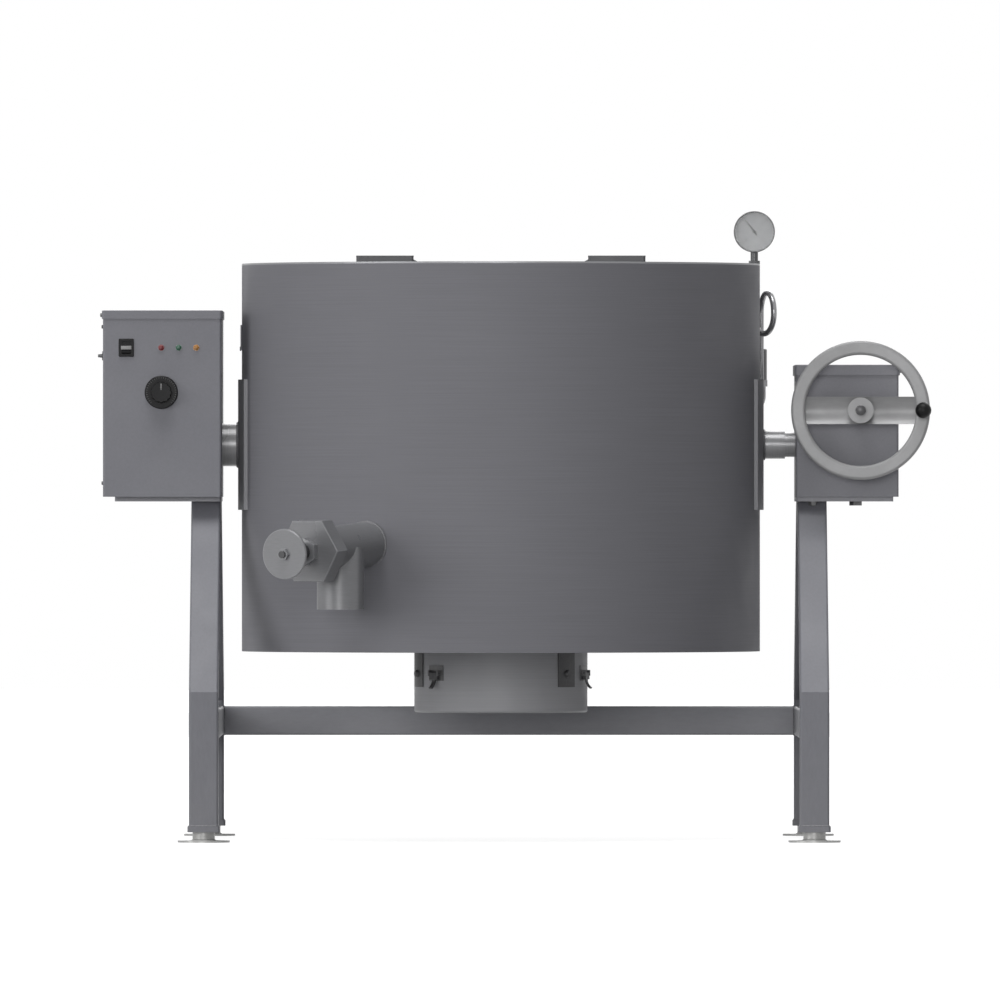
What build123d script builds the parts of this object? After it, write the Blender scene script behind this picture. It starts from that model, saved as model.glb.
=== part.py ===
"""Tilting steam jacketed kettle on a tube stand, with a hand-driven worm gear.

Millimetres. The origin is on the floor at the centre of the four feet, +X to the right of a person
who faces the controls, +Y to the back and +Z up. The kettle turns about the trunnion axis, which
runs along X at tilt_height; its own upright axis stands at kettle_x.
"""
from build123d import *
from math import atan, cos, degrees, pi, radians, sin, tan
import os

os.makedirs("parts", exist_ok=True)

# ---------------------------------------------------------------- driving dimensions
touch_gap = 0.3          # between curved faces of one assembly that only lie against each other
running_gap = 0.05       # radial clearance of a shaft in its bore
weld_gap = 0.5           # radial clearance of a tube in the hole it is welded into

# Stand
tube = 50.0
tube_wall = 3.0
tube_corner = 4.0
leg_clearance = 74.5     # shell to the middle of each leg
leg_half_spacing_y = 385.0
knee_height = 246.0
post_top_half_spacing = 60.0
rail_height = 200.0
tray_thickness = 8.0
tray_depth = 224.0

# Feet
foot_plate_radius = 44.5
foot_plate_thickness = 3.5
foot_boss_radius = 19.0
foot_boss_height = 14.0
foot_stem_radius = 8.0
foot_stem_length = 40.0
anchor_hole_radius = 5.5
anchor_half_spacing = 32.0
socket_side = 55.0
socket_height = 10.0
socket_edge_radius = 4.0

# Trunnions and their bearings
tilt_height = 678.0
bearing_centre_height = 89.5
bearing_width = 36.0
bearing_wall = 15.0
bearing_base_length = 150.0
bearing_base_thickness = 14.0
left_trunnion_radius = 37.0
left_trunnion_wall = 5.0
right_boss_radius = 24.0
right_boss_reach = 43.0
right_shaft_radius = 21.0
pad_thickness = 6.2
pad_height = 224.0
pad_half_width = 100.0

# Kettle
kettle_x = -14.0
bowl_radius = 380.0
rebate_ledge = 21.0
steam_space = 28.0
insulation = 37.5
shell_wall = 2.0
shell_bottom = 323.0
rim_top = 989.0
rim_thickness = 3.0
rebate_depth = 22.0
bowl_wall = 3.0
bowl_straight_bottom = 620.0
bowl_dish = 190.0
crown_angle = 3.0        # the dish is flat within this angle of its axis
jacket_wall = 3.0
jacket_dish = 215.0
jacket_top = 850.0
sump_radius = 126.0
sump_bottom = 300.0
sump_floor = 6.0

# Element drum below the shell
drum_radius = 149.0
drum_wall = 2.0
drum_bottom = 218.0
bracket_thickness = 2.0
bracket_width = 42.0
bracket_height = 61.0
bracket_bolt_drop = 38.0
bracket_azimuths = (-161.0, -41.0, 79.0)
latch_azimuths = (-138.0, -18.0, 102.0)
element_circle_radius = 62.0
element_tube_radius = 5.0
element_half_pitch = 12.5
element_height = 110.0
element_flats = 46.0
element_head = 14.0
terminal_length = 18.0

# Covers
cover_clearance = 2.0
cover_thickness = 3.0
cover_split = 4.0
cover_flange = 12.0
grip_length = 99.0
grip_width = 30.0
grip_depth = 11.7
grip_height = 36.3
grip_centre = 199.4
grip_sheet = 2.5

# Draw-off valve
valve_azimuth = 31.0
valve_slope = 3.5
valve_height = 507.4
valve_tube_radius = 38.0
valve_tube_wall = 3.0
valve_reach = 158.0
spout_radius = 40.0
spout_wall = 3.5
spout_reach = 84.0
spout_mouth = 397.0
spout_socket_radius = 37.2
spout_socket_depth = 25.0
seat_reach = 40.0
seat_thickness = 4.0
seat_hole_radius = 24.0
plug_radius = 30.0
plug_thickness = 12.0
bonnet_flats = 103.0
bonnet_thickness = 33.0
bonnet_spigot = 12.0
spindle_radius = 12.5
spindle_neck_radius = 10.0
disc_radius = 43.0
disc_thickness = 6.0
disc_reach = 71.0
disc_bolt_radius = 6.0

# Jacket fittings on the right side
fitting_azimuth = 18.0
fitting_reach = 26.5
pipe_radius = 8.5
siphon_radius = 5.0
siphon_loop_radius = 35.0
siphon_loop_drop = 141.0
siphon_shift = 12.0
siphon_foot_drop = 115.0
fitting_inlet_drop = 48.0
gauge_rise = 57.0          # above the rim
gauge_radius = 35.5
gauge_depth = 28.0
gauge_wall = 2.0
gauge_stem_radius = 6.5
gauge_nut_flats = 17.0
gauge_nut_height = 11.0
relief_offset = 36.0
relief_radius = 22.0
relief_height = 63.0

# Control box
box_overlap = 27.0       # past the middle of its leg, towards the kettle
box_width = 203.0
box_depth = 280.0
box_height = 318.0
box_sheet = 1.5
box_edge_radius = 4.0
cap_skirt = 13.0
cap_gap = 0.3
panel_row_drop = 62.5
switch_inset = 163.0
switch_width = 26.0
switch_height = 31.0
lamp_insets = (103.0, 73.0, 43.0)
lamp_radius = 5.5
knob_inset = 103.0
knob_drop = 76.5
knob_radius = 28.4
knob_depth = 22.0
lock_drop = 75.5
gland_rise = 51.5
gland_bore_radius = 6.5

# Tilt drive
gearbox_overlap = 28.0   # past the middle of its leg, towards the kettle
gearbox_width = 176.0
gearbox_depth = 240.0
gearbox_height = 224.5
gearbox_sheet = 2.5
gearbox_cap_skirt = 16.0
gear_module = 3.0
wheel_teeth = 30
wheel_face = 16.0
wheel_hub_radius = 30.0
wheel_hub_length = 34.0
worm_pitch_radius = 13.5
worm_turns = 5
worm_shaft_radius = 9.0
worm_inset = 110.0
tooth_clearance = 0.75
tooth_play = 0.55
pressure_angle = 20.0
block_inner_y = 52.0
block_thickness = 16.0
handwheel_radius = 119.0
handwheel_ring_width = 24.0
handwheel_ring_depth = 14.0
handwheel_plane_y = 165.0
web_height = 47.0
web_depth = 8.0
hub_radius = 22.0
hub_length = 36.0
crank_radius = 107.0
crank_stud_radius = 5.0
crank_knob_radius = 13.8
crank_knob_length = 34.0

# ---------------------------------------------------------------- derived places
rebate_radius = bowl_radius + rebate_ledge
jacket_radius = bowl_radius + steam_space
shell_radius = jacket_radius + insulation
leg_half_spacing_x = shell_radius + leg_clearance
element_spigot_radius = element_flats / 2 - 4.0
element_hole_radius = element_spigot_radius + weld_gap
box_inner_x = leg_half_spacing_x - box_overlap
gearbox_inner_x = leg_half_spacing_x - gearbox_overlap
worm_x = gearbox_inner_x + worm_inset
switch_x = -(box_inner_x + switch_inset)
lamp_x = [-(box_inner_x + inset) for inset in lamp_insets]
knob_x = -(box_inner_x + knob_inset)
gauge_height = rim_top + gauge_rise
siphon_loop_height = gauge_height - siphon_loop_drop
siphon_foot_height = siphon_loop_height - siphon_foot_drop
fitting_inlet_height = siphon_foot_height - fitting_inlet_drop
tray_top = tilt_height - bearing_centre_height
post_top = tray_top - tray_thickness
foot_top = foot_plate_thickness + foot_boss_height
leg_bottom = foot_top + socket_height
box_top = tray_top + box_height
panel_row_height = box_top - panel_row_drop
knob_height = panel_row_height - knob_drop
lock_height = box_top - lock_drop
gland_height = tray_top + gland_rise
gear_pitch = pi * gear_module
wheel_pitch_radius = gear_module * wheel_teeth / 2
worm_height = tilt_height + wheel_pitch_radius + worm_pitch_radius
ledge_top = rim_top - rebate_depth - cover_thickness
cover_radius = rebate_radius - cover_clearance
box_centre_x = -(box_inner_x + box_width / 2)
gearbox_centre_x = gearbox_inner_x + gearbox_width / 2
kettle_axis = Axis((kettle_x, 0, 0), (0, 0, 1))
kettle_section = Plane(origin=(kettle_x, 0, 0), x_dir=(1, 0, 0), z_dir=(0, -1, 0))


def across(x):
    """Plane square to the trunnion axis at x: local x is +Y, local y is +Z, looking along +X."""
    return Plane(origin=(x, 0, tilt_height), x_dir=(0, 1, 0), z_dir=(1, 0, 0))


def front(x, y, z):
    """Plane that faces the user: local x is +X, local y is +Z and its normal is -Y."""
    return Plane(origin=(x, y, z), x_dir=(1, 0, 0), z_dir=(0, -1, 0))


def back(x, y, z):
    """Plane that faces away from the user: local x is -X, local y is +Z and its normal is +Y."""
    return Plane(origin=(x, y, z), x_dir=(-1, 0, 0), z_dir=(0, 1, 0))


def spoke(azimuth, radius, z):
    """Plane on a kettle radius: its normal points outwards, local x is level, local y is up."""
    a = radians(azimuth)
    out = (cos(a), sin(a), 0)
    level = (-sin(a), cos(a), 0)
    return Plane(origin=(kettle_x + radius * cos(a), radius * sin(a), z), x_dir=level, z_dir=out)


# ---------------------------------------------------------------- stand
def build_leg(side, end):
    """Leg of square tube mitred to the leaning post, on its foot socket."""
    x = side * leg_half_spacing_x
    y = end * leg_half_spacing_y
    y_top = end * post_top_half_spacing
    rise = post_top - knee_height
    over = 1.0 + tube / rise
    with BuildPart() as leg:
        with BuildLine() as centre_line:
            Polyline(
                (x, y, leg_bottom),
                (x, y, knee_height),
                (x, y + (y_top - y) * over, knee_height + rise * over),
            )
        with BuildSketch(Plane.XY.offset(leg_bottom)):
            with Locations((x, y)):
                RectangleRounded(tube, tube, tube_corner)
                RectangleRounded(
                    tube - 2 * tube_wall, tube - 2 * tube_wall, tube_corner - tube_wall, mode=Mode.SUBTRACT
                )
        sweep(path=centre_line.line, transition=Transition.RIGHT)
        split(bisect_by=Plane.XY.offset(post_top), keep=Keep.BOTTOM)
        with BuildSketch(Plane.XY.offset(foot_top)):
            with Locations((x, y)):
                RectangleRounded(socket_side, socket_side, socket_edge_radius)
                Circle(foot_stem_radius + running_gap, mode=Mode.SUBTRACT)
        extrude(amount=socket_height)
    return leg.part


left_front_leg = build_leg(-1, -1)
left_rear_leg = build_leg(-1, 1)
right_front_leg = build_leg(1, -1)
right_rear_leg = build_leg(1, 1)


def build_side_rail(side):
    """Square tube between a front and a rear leg."""
    length = 2 * leg_half_spacing_y - tube
    with BuildPart() as rail:
        with BuildSketch(Plane(origin=(side * leg_half_spacing_x, -length / 2, rail_height),
                               x_dir=(1, 0, 0), z_dir=(0, 1, 0))):
            RectangleRounded(tube, tube, tube_corner)
            RectangleRounded(
                tube - 2 * tube_wall, tube - 2 * tube_wall, tube_corner - tube_wall, mode=Mode.SUBTRACT
            )
        extrude(amount=length)
    return rail.part


left_side_rail = build_side_rail(-1)
right_side_rail = build_side_rail(1)

crossbar_length = 2 * leg_half_spacing_x - tube
with BuildPart() as rear_crossbar:
    with BuildSketch(Plane(origin=(-crossbar_length / 2, leg_half_spacing_y, rail_height),
                           x_dir=(0, 1, 0), z_dir=(1, 0, 0))):
        RectangleRounded(tube, tube, tube_corner)
        RectangleRounded(
            tube - 2 * tube_wall, tube - 2 * tube_wall, tube_corner - tube_wall, mode=Mode.SUBTRACT
        )
    extrude(amount=crossbar_length)

with BuildPart() as flanged_feet:
    with GridLocations(2 * leg_half_spacing_x, 2 * leg_half_spacing_y, 2, 2):
        Cylinder(foot_plate_radius, foot_plate_thickness, align=(Align.CENTER, Align.CENTER, Align.MIN))
        Cylinder(foot_boss_radius, foot_top, align=(Align.CENTER, Align.CENTER, Align.MIN))
        Cylinder(foot_stem_radius, foot_top + foot_stem_length, align=(Align.CENTER, Align.CENTER, Align.MIN))
    with GridLocations(2 * leg_half_spacing_x, 2 * leg_half_spacing_y, 2, 2):
        with GridLocations(0, 2 * anchor_half_spacing, 1, 2):
            Hole(anchor_hole_radius)


# ---------------------------------------------------------------- trays and bearings
block_bolt_radius = 5.0
block_bolt_x = worm_x - 6.0
block_bolt_y = block_inner_y + block_thickness / 2
block_bolt_flats = 17.0
block_bolt_head = 7.0
bearing_bolt_radius = 8.0
bearing_bolt_flats = 24.0
bearing_bolt_head = 8.0
bolt_gap = 0.3

left_tray_width = 182.0
with BuildPart() as left_support_tray:
    with BuildSketch(Plane.XY.offset(post_top)):
        with Locations((-(box_inner_x + left_tray_width / 2) - 1.0, 0)):
            RectangleRounded(left_tray_width, tray_depth, tube_corner)
    extrude(amount=tray_thickness)

right_tray_width = 167.0
with BuildPart() as right_support_tray:
    with BuildSketch(Plane.XY.offset(post_top)):
        with Locations((gearbox_inner_x + right_tray_width / 2, 0)):
            RectangleRounded(right_tray_width, tray_depth, tube_corner)
        with Locations((block_bolt_x, block_bolt_y), (block_bolt_x, -block_bolt_y)):
            Circle(block_bolt_radius + bolt_gap, mode=Mode.SUBTRACT)
        with Locations((leg_half_spacing_x, 0)):
            Circle(bearing_bolt_radius + bolt_gap, mode=Mode.SUBTRACT)
    extrude(amount=tray_thickness)


def build_bearing(x, shaft_radius, bolt_depth):
    """Pedestal bearing: a bored ring on a tapered web and a foot, standing on the tray."""
    ring_radius = shaft_radius + bearing_wall
    with BuildPart() as bearing:
        with BuildSketch(across(x - bearing_width / 2)):
            Circle(ring_radius)
            with Locations((0, -bearing_centre_height)):
                Rectangle(2 * ring_radius, bearing_base_thickness, align=(Align.CENTER, Align.MIN))
            make_hull()
            with Locations((0, -bearing_centre_height)):
                Rectangle(bearing_base_length, bearing_base_thickness, align=(Align.CENTER, Align.MIN))
            Circle(shaft_radius + running_gap, mode=Mode.SUBTRACT)
        extrude(amount=bearing_width)
        if bolt_depth:
            with Locations(Plane(origin=(x, 0, tray_top), z_dir=(0, 0, -1))):
                Hole(bearing_bolt_radius + bolt_gap, depth=bolt_depth)
    return bearing.part


bearing_bolt_depth = 26.0
left_trunnion_bearing = build_bearing(-leg_half_spacing_x, left_trunnion_radius, 0)
right_trunnion_bearing = build_bearing(leg_half_spacing_x, right_shaft_radius, bearing_bolt_depth)


# ---------------------------------------------------------------- kettle vessel
valve_out = (
    -sin(radians(valve_azimuth)) * cos(radians(valve_slope)),
    -cos(radians(valve_azimuth)) * cos(radians(valve_slope)),
    -sin(radians(valve_slope)),
)
valve_plane = Plane(
    origin=(
        kettle_x - shell_radius * sin(radians(valve_azimuth)),
        -shell_radius * cos(radians(valve_azimuth)),
        valve_height,
    ),
    x_dir=(cos(radians(valve_azimuth)), -sin(radians(valve_azimuth)), 0),
    z_dir=valve_out,
)
valve_inner_reach = shell_radius - 0.6 * bowl_radius
valve_hole_radius = valve_tube_radius + weld_gap
pipe_hole_radius = pipe_radius + weld_gap

with BuildPart() as bowl_space:
    with BuildSketch(kettle_section):
        with BuildLine():
            dish = EllipticalCenterArc((0, bowl_straight_bottom), bowl_radius, bowl_dish,
                                       270 + crown_angle, arc_size=90 - crown_angle)
            Polyline(
                dish @ 1,
                (bowl_radius, rim_top),
                (0, rim_top),
                (0, (dish @ 0).Y),
                dish @ 0,
            )
        make_face()
    revolve(axis=kettle_axis)

with BuildPart() as inner_bowl:
    with BuildSketch(kettle_section):
        with BuildLine():
            outer_radius = bowl_radius + bowl_wall
            dish = EllipticalCenterArc((0, bowl_straight_bottom), outer_radius, bowl_dish + bowl_wall,
                                       270 + crown_angle, arc_size=90 - crown_angle)
            Polyline(
                dish @ 1,
                (outer_radius, ledge_top - rim_thickness),
                (rebate_radius + rim_thickness, ledge_top - rim_thickness),
                (rebate_radius + rim_thickness, rim_top - rim_thickness),
                (shell_radius, rim_top - rim_thickness),
                (shell_radius, rim_top),
                (0, rim_top),
                (0, (dish @ 0).Y),
                dish @ 0,
            )
        make_face()
    revolve(axis=kettle_axis)
    add(bowl_space.part, mode=Mode.SUBTRACT)
    with BuildSketch(Plane.XY.offset(ledge_top)):
        with Locations((kettle_x, 0)):
            Circle(rebate_radius)
    extrude(amount=rim_top - ledge_top, mode=Mode.SUBTRACT)
    with BuildSketch(valve_plane):
        Circle(valve_hole_radius)
    extrude(amount=-valve_inner_reach, mode=Mode.SUBTRACT)

with BuildPart() as jacket_space:
    with BuildSketch(kettle_section):
        with BuildLine():
            inner_radius = jacket_radius - jacket_wall
            EllipticalCenterArc((0, bowl_straight_bottom), inner_radius, jacket_dish - jacket_wall,
                                270, arc_size=90)
            Polyline(
                (inner_radius, bowl_straight_bottom),
                (inner_radius, jacket_top - jacket_wall),
                (0, jacket_top - jacket_wall),
                (0, bowl_straight_bottom - jacket_dish + jacket_wall),
            )
        make_face()
    revolve(axis=kettle_axis)
    with BuildSketch(Plane.XY.offset(sump_bottom + sump_floor)):
        with Locations((kettle_x, 0)):
            Circle(sump_radius - jacket_wall)
    extrude(amount=bowl_straight_bottom - jacket_dish * cos(sump_radius / jacket_radius) - sump_bottom)

with BuildPart() as steam_jacket:
    with BuildSketch(kettle_section):
        with BuildLine():
            EllipticalCenterArc((0, bowl_straight_bottom), jacket_radius, jacket_dish, 270, arc_size=90)
            Polyline(
                (jacket_radius, bowl_straight_bottom),
                (jacket_radius, jacket_top),
                (0, jacket_top),
                (0, bowl_straight_bottom - jacket_dish),
            )
        make_face()
    revolve(axis=kettle_axis)
    with BuildSketch(Plane.XY.offset(sump_bottom)):
        with Locations((kettle_x, 0)):
            Circle(sump_radius)
    extrude(amount=bowl_straight_bottom - jacket_dish - sump_bottom + jacket_wall * 4)
    add(jacket_space.part, mode=Mode.SUBTRACT)
    with BuildSketch(Plane.XY.offset(jacket_top - jacket_wall)):
        with Locations((kettle_x, 0)):
            Circle(bowl_radius + bowl_wall + touch_gap)
    extrude(amount=jacket_wall, mode=Mode.SUBTRACT)
    with BuildSketch(valve_plane):
        Circle(valve_hole_radius)
    extrude(amount=-valve_inner_reach, mode=Mode.SUBTRACT)
    with BuildSketch(Plane.XY.offset(sump_bottom)):
        with Locations((kettle_x, 0)):
            with PolarLocations(element_circle_radius, 3):
                Circle(element_hole_radius)
    extrude(amount=sump_floor, mode=Mode.SUBTRACT)
    with BuildSketch(spoke(fitting_azimuth, jacket_radius + touch_gap, fitting_inlet_height)):
        Circle(pipe_radius - 3.0)
    extrude(amount=-2 * jacket_wall, mode=Mode.SUBTRACT)

with BuildPart() as outer_shell:
    with BuildSketch(Plane.XY.offset(shell_bottom)):
        with Locations((kettle_x, 0)):
            Circle(shell_radius)
            Circle(sump_radius + weld_gap, mode=Mode.SUBTRACT)
    extrude(amount=shell_wall)
    with BuildSketch(Plane.XY.offset(shell_bottom)):
        with Locations((kettle_x, 0)):
            Circle(shell_radius)
            Circle(shell_radius - shell_wall, mode=Mode.SUBTRACT)
    extrude(amount=rim_top - rim_thickness - shell_bottom)
    with BuildSketch(across(kettle_x)):
        Circle(left_trunnion_radius + weld_gap)
    extrude(amount=-shell_radius - shell_wall, mode=Mode.SUBTRACT)
    with BuildSketch(across(kettle_x)):
        Circle(right_boss_radius + weld_gap)
    extrude(amount=shell_radius + shell_wall, mode=Mode.SUBTRACT)
    with BuildSketch(valve_plane):
        Circle(valve_hole_radius)
    extrude(amount=pad_height / 2, both=True, mode=Mode.SUBTRACT)
    with BuildSketch(spoke(fitting_azimuth, jacket_radius, fitting_inlet_height)):
        Circle(pipe_hole_radius)
    extrude(amount=shell_radius, mode=Mode.SUBTRACT)


# ---------------------------------------------------------------- trunnions
def build_pad(side):
    """Curved reinforcing plate that lies against the shell round a trunnion."""
    inner = shell_radius + touch_gap
    with BuildPart() as pad:
        with BuildSketch(Plane.XY.offset(tilt_height - pad_height / 2)):
            with Locations((kettle_x, 0)):
                Circle(inner + pad_thickness)
                Circle(inner, mode=Mode.SUBTRACT)
            with Locations((kettle_x + side * shell_radius, 0)):
                Rectangle(shell_radius, 2 * pad_half_width, mode=Mode.INTERSECT)
        extrude(amount=pad_height)
    return pad.part


left_trunnion_end = -(leg_half_spacing_x + bearing_width / 2 + 14.0)
left_trunnion_root = kettle_x - jacket_radius - touch_gap
with BuildPart() as left_trunnion:
    add(build_pad(-1))
    with BuildSketch(across(left_trunnion_end)):
        Circle(left_trunnion_radius)
    extrude(amount=left_trunnion_root - left_trunnion_end)
    with BuildSketch(across(left_trunnion_end)):
        Circle(left_trunnion_radius - left_trunnion_wall)
    extrude(amount=left_trunnion_root - left_trunnion_end, mode=Mode.SUBTRACT)

right_trunnion_root = kettle_x + jacket_radius + touch_gap
right_boss_end = kettle_x + shell_radius + right_boss_reach
right_shaft_end = worm_x + wheel_hub_length / 2 + 12.0
with BuildPart() as right_trunnion:
    add(build_pad(1))
    with BuildSketch(across(right_trunnion_root)):
        Circle(right_boss_radius)
    extrude(amount=right_boss_end - right_trunnion_root)
    with BuildSketch(across(right_boss_end)):
        Circle(right_shaft_radius)
    extrude(amount=right_shaft_end - right_boss_end)
    chamfer(right_trunnion.edges().filter_by(GeomType.CIRCLE).sort_by(Axis.X)[-1], 1.5)


# ---------------------------------------------------------------- worm gear
lead_angle = degrees(atan(gear_pitch / (2 * pi * worm_pitch_radius)))
flank = tan(radians(pressure_angle))
tooth_depth = gear_module + tooth_clearance
wheel_root_radius = wheel_pitch_radius - tooth_depth
wheel_tip_radius = wheel_pitch_radius + gear_module
gap_half_width = gear_pitch / 4 + tooth_play / 2
thread_half_width = gear_pitch / 4 - tooth_play / 2
gash_twist = degrees(wheel_face / 2 * tan(radians(lead_angle)) / wheel_pitch_radius)
gash_over = 1.0


def gash_section(plane):
    """Section of the worm wheel's tooth space, a trapezium that opens towards the tip."""
    root_half_width = gap_half_width - tooth_depth * flank
    mouth_half_width = gap_half_width + (gear_module + gash_over) * flank
    with BuildSketch(plane) as section:
        with BuildLine():
            Polyline(
                (-root_half_width, wheel_root_radius),
                (root_half_width, wheel_root_radius),
                (mouth_half_width, wheel_tip_radius + gash_over),
                (-mouth_half_width, wheel_tip_radius + gash_over),
                close=True,
            )
        make_face()
    return section.sketch


with BuildPart() as tooth_gash:
    loft(
        sections=[
            gash_section(Plane.XY.offset(-wheel_face / 2).rotated((0, 0, -gash_twist))),
            gash_section(Plane.XY.offset(wheel_face / 2).rotated((0, 0, gash_twist))),
        ],
        ruled=True,
    )

with BuildPart() as wheel_blank:
    Cylinder(wheel_tip_radius, wheel_face)
    with PolarLocations(0, wheel_teeth):
        add(tooth_gash.part, mode=Mode.SUBTRACT)
    Cylinder(wheel_hub_radius, wheel_hub_length)
    Hole(right_shaft_radius + running_gap)

with BuildPart() as worm_wheel:
    add(across(worm_x).from_local_coords(wheel_blank.part))

worm_length = worm_turns * gear_pitch
worm_start = Plane(origin=(worm_x, -worm_length / 2, worm_height), x_dir=(0, 0, 1), z_dir=(0, 1, 0))
worm_root_radius = worm_pitch_radius - tooth_depth
thread_foot = 0.6
with BuildPart() as worm_thread:
    with BuildLine() as thread_line:
        Helix(gear_pitch, worm_length, worm_pitch_radius)
    with BuildSketch(Plane(origin=thread_line.line @ 0, x_dir=(1, 0, 0), z_dir=thread_line.line % 0)):
        with BuildLine():
            Polyline(
                (gear_module, thread_half_width - gear_module * flank),
                (gear_module, -(thread_half_width - gear_module * flank)),
                (-tooth_depth - thread_foot, -(thread_half_width + (tooth_depth + thread_foot) * flank)),
                (-tooth_depth - thread_foot, thread_half_width + (tooth_depth + thread_foot) * flank),
                close=True,
            )
        make_face()
    sweep(path=thread_line.line, is_frenet=True)

hub_front_y = handwheel_plane_y + hub_length / 2
worm_shaft_front = hub_front_y + 4.0
worm_shaft_rear = block_inner_y + block_thickness + 4.0
shoulder_y = block_inner_y - 0.5
with BuildPart() as worm_shaft:
    add(worm_start.from_local_coords(worm_thread.part))
    with BuildSketch(front(worm_x, shoulder_y, worm_height)):
        Circle(worm_root_radius)
    extrude(amount=2 * shoulder_y)
    with BuildSketch(front(worm_x, worm_shaft_rear, worm_height)):
        Circle(worm_shaft_radius)
    extrude(amount=worm_shaft_rear + worm_shaft_front)
    chamfer(worm_shaft.edges().filter_by(GeomType.CIRCLE).sort_by(Axis.Y)[0], 1.0)

block_head_radius = worm_shaft_radius + 12.0
block_base_width = 84.0
block_bolt_depth = 20.0
with BuildPart() as worm_bearing_blocks:
    with BuildSketch(front(worm_x, -block_inner_y, worm_height)):
        Circle(block_head_radius)
        with Locations((0, tray_top - worm_height)):
            Rectangle(block_base_width, block_thickness, align=(Align.CENTER, Align.MIN))
        make_hull()
        Circle(worm_shaft_radius + running_gap, mode=Mode.SUBTRACT)
    extrude(amount=block_thickness)
    with Locations(Plane(origin=(block_bolt_x, -block_bolt_y, tray_top), z_dir=(0, 0, -1))):
        Hole(block_bolt_radius + bolt_gap, depth=block_bolt_depth)
    mirror(about=Plane.XZ)


def build_bolt(x, y, radius, flats, head, length):
    """Hexagon bolt screwed up through the tray from below."""
    with BuildPart() as bolt:
        with BuildSketch(Plane.XY.offset(post_top - head)):
            with Locations((x, y)):
                RegularPolygon(flats / 2, 6, major_radius=False)
        extrude(amount=head)
        with BuildSketch(Plane.XY.offset(post_top)):
            with Locations((x, y)):
                Circle(radius)
        extrude(amount=length)
    return bolt.part


with BuildPart() as gearbox_bolts:
    for side in (-1, 1):
        add(build_bolt(block_bolt_x, side * block_bolt_y, block_bolt_radius, block_bolt_flats,
                       block_bolt_head, tray_thickness + block_bolt_depth - 1.0))
    add(build_bolt(leg_half_spacing_x, 0, bearing_bolt_radius, bearing_bolt_flats,
                   bearing_bolt_head, tray_thickness + bearing_bolt_depth - 1.0))


# ---------------------------------------------------------------- handwheel and crank knob
ring_section_radius = handwheel_radius - handwheel_ring_width / 2
ring_edge_radius = 5.0
web_bow = 9.0
web_lap = 8.0
wheel_axis = Axis((worm_x, 0, worm_height), (0, 1, 0))
crank_pin_front = handwheel_plane_y + handwheel_ring_depth / 2 + crank_knob_length - 8.0
with BuildPart() as handwheel:
    with BuildSketch(Plane.XY.offset(worm_height).move(Location((worm_x, -handwheel_plane_y, 0)))):
        with Locations((ring_section_radius, 0)):
            RectangleRounded(handwheel_ring_width, handwheel_ring_depth, ring_edge_radius)
    revolve(axis=wheel_axis)
    web_reach = handwheel_radius - handwheel_ring_width + web_lap
    with BuildSketch(Plane(origin=(worm_x - web_reach, -handwheel_plane_y, worm_height),
                           x_dir=(0, -1, 0), z_dir=(1, 0, 0))):
        with BuildLine():
            face_arc = SagittaArc((0, web_height / 2), (0, -web_height / 2), -web_bow)
            back_arc = SagittaArc((-web_depth, web_height / 2), (-web_depth, -web_height / 2), -web_bow)
            Line(face_arc @ 0, back_arc @ 0)
            Line(face_arc @ 1, back_arc @ 1)
        make_face()
    extrude(amount=2 * web_reach)
    with BuildSketch(front(worm_x, -(hub_front_y - hub_length), worm_height)):
        Circle(hub_radius)
    extrude(amount=hub_length)
    with BuildSketch(front(worm_x, 0, worm_height)):
        Circle(worm_shaft_radius + running_gap)
    extrude(amount=worm_shaft_front, mode=Mode.SUBTRACT)
    with BuildSketch(front(worm_x + crank_radius, -handwheel_plane_y, worm_height)):
        Circle(crank_stud_radius)
    extrude(amount=crank_pin_front - handwheel_plane_y)

knob_back = handwheel_plane_y + handwheel_ring_depth / 2 + touch_gap
knob_neck_radius = 9.0
with BuildPart() as crank_knob:
    with BuildSketch(front(worm_x + crank_radius, -knob_back, worm_height)):
        Circle(knob_neck_radius)
    extrude(amount=crank_knob_length - crank_knob_radius, taper=-4.0)
    with Locations((worm_x + crank_radius, crank_knob_radius - crank_knob_length - knob_back, worm_height)):
        Sphere(crank_knob_radius)
    with BuildSketch(front(worm_x + crank_radius, -knob_back, worm_height)):
        Circle(crank_stud_radius + running_gap)
    extrude(amount=crank_pin_front - knob_back + touch_gap, mode=Mode.SUBTRACT)


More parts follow.
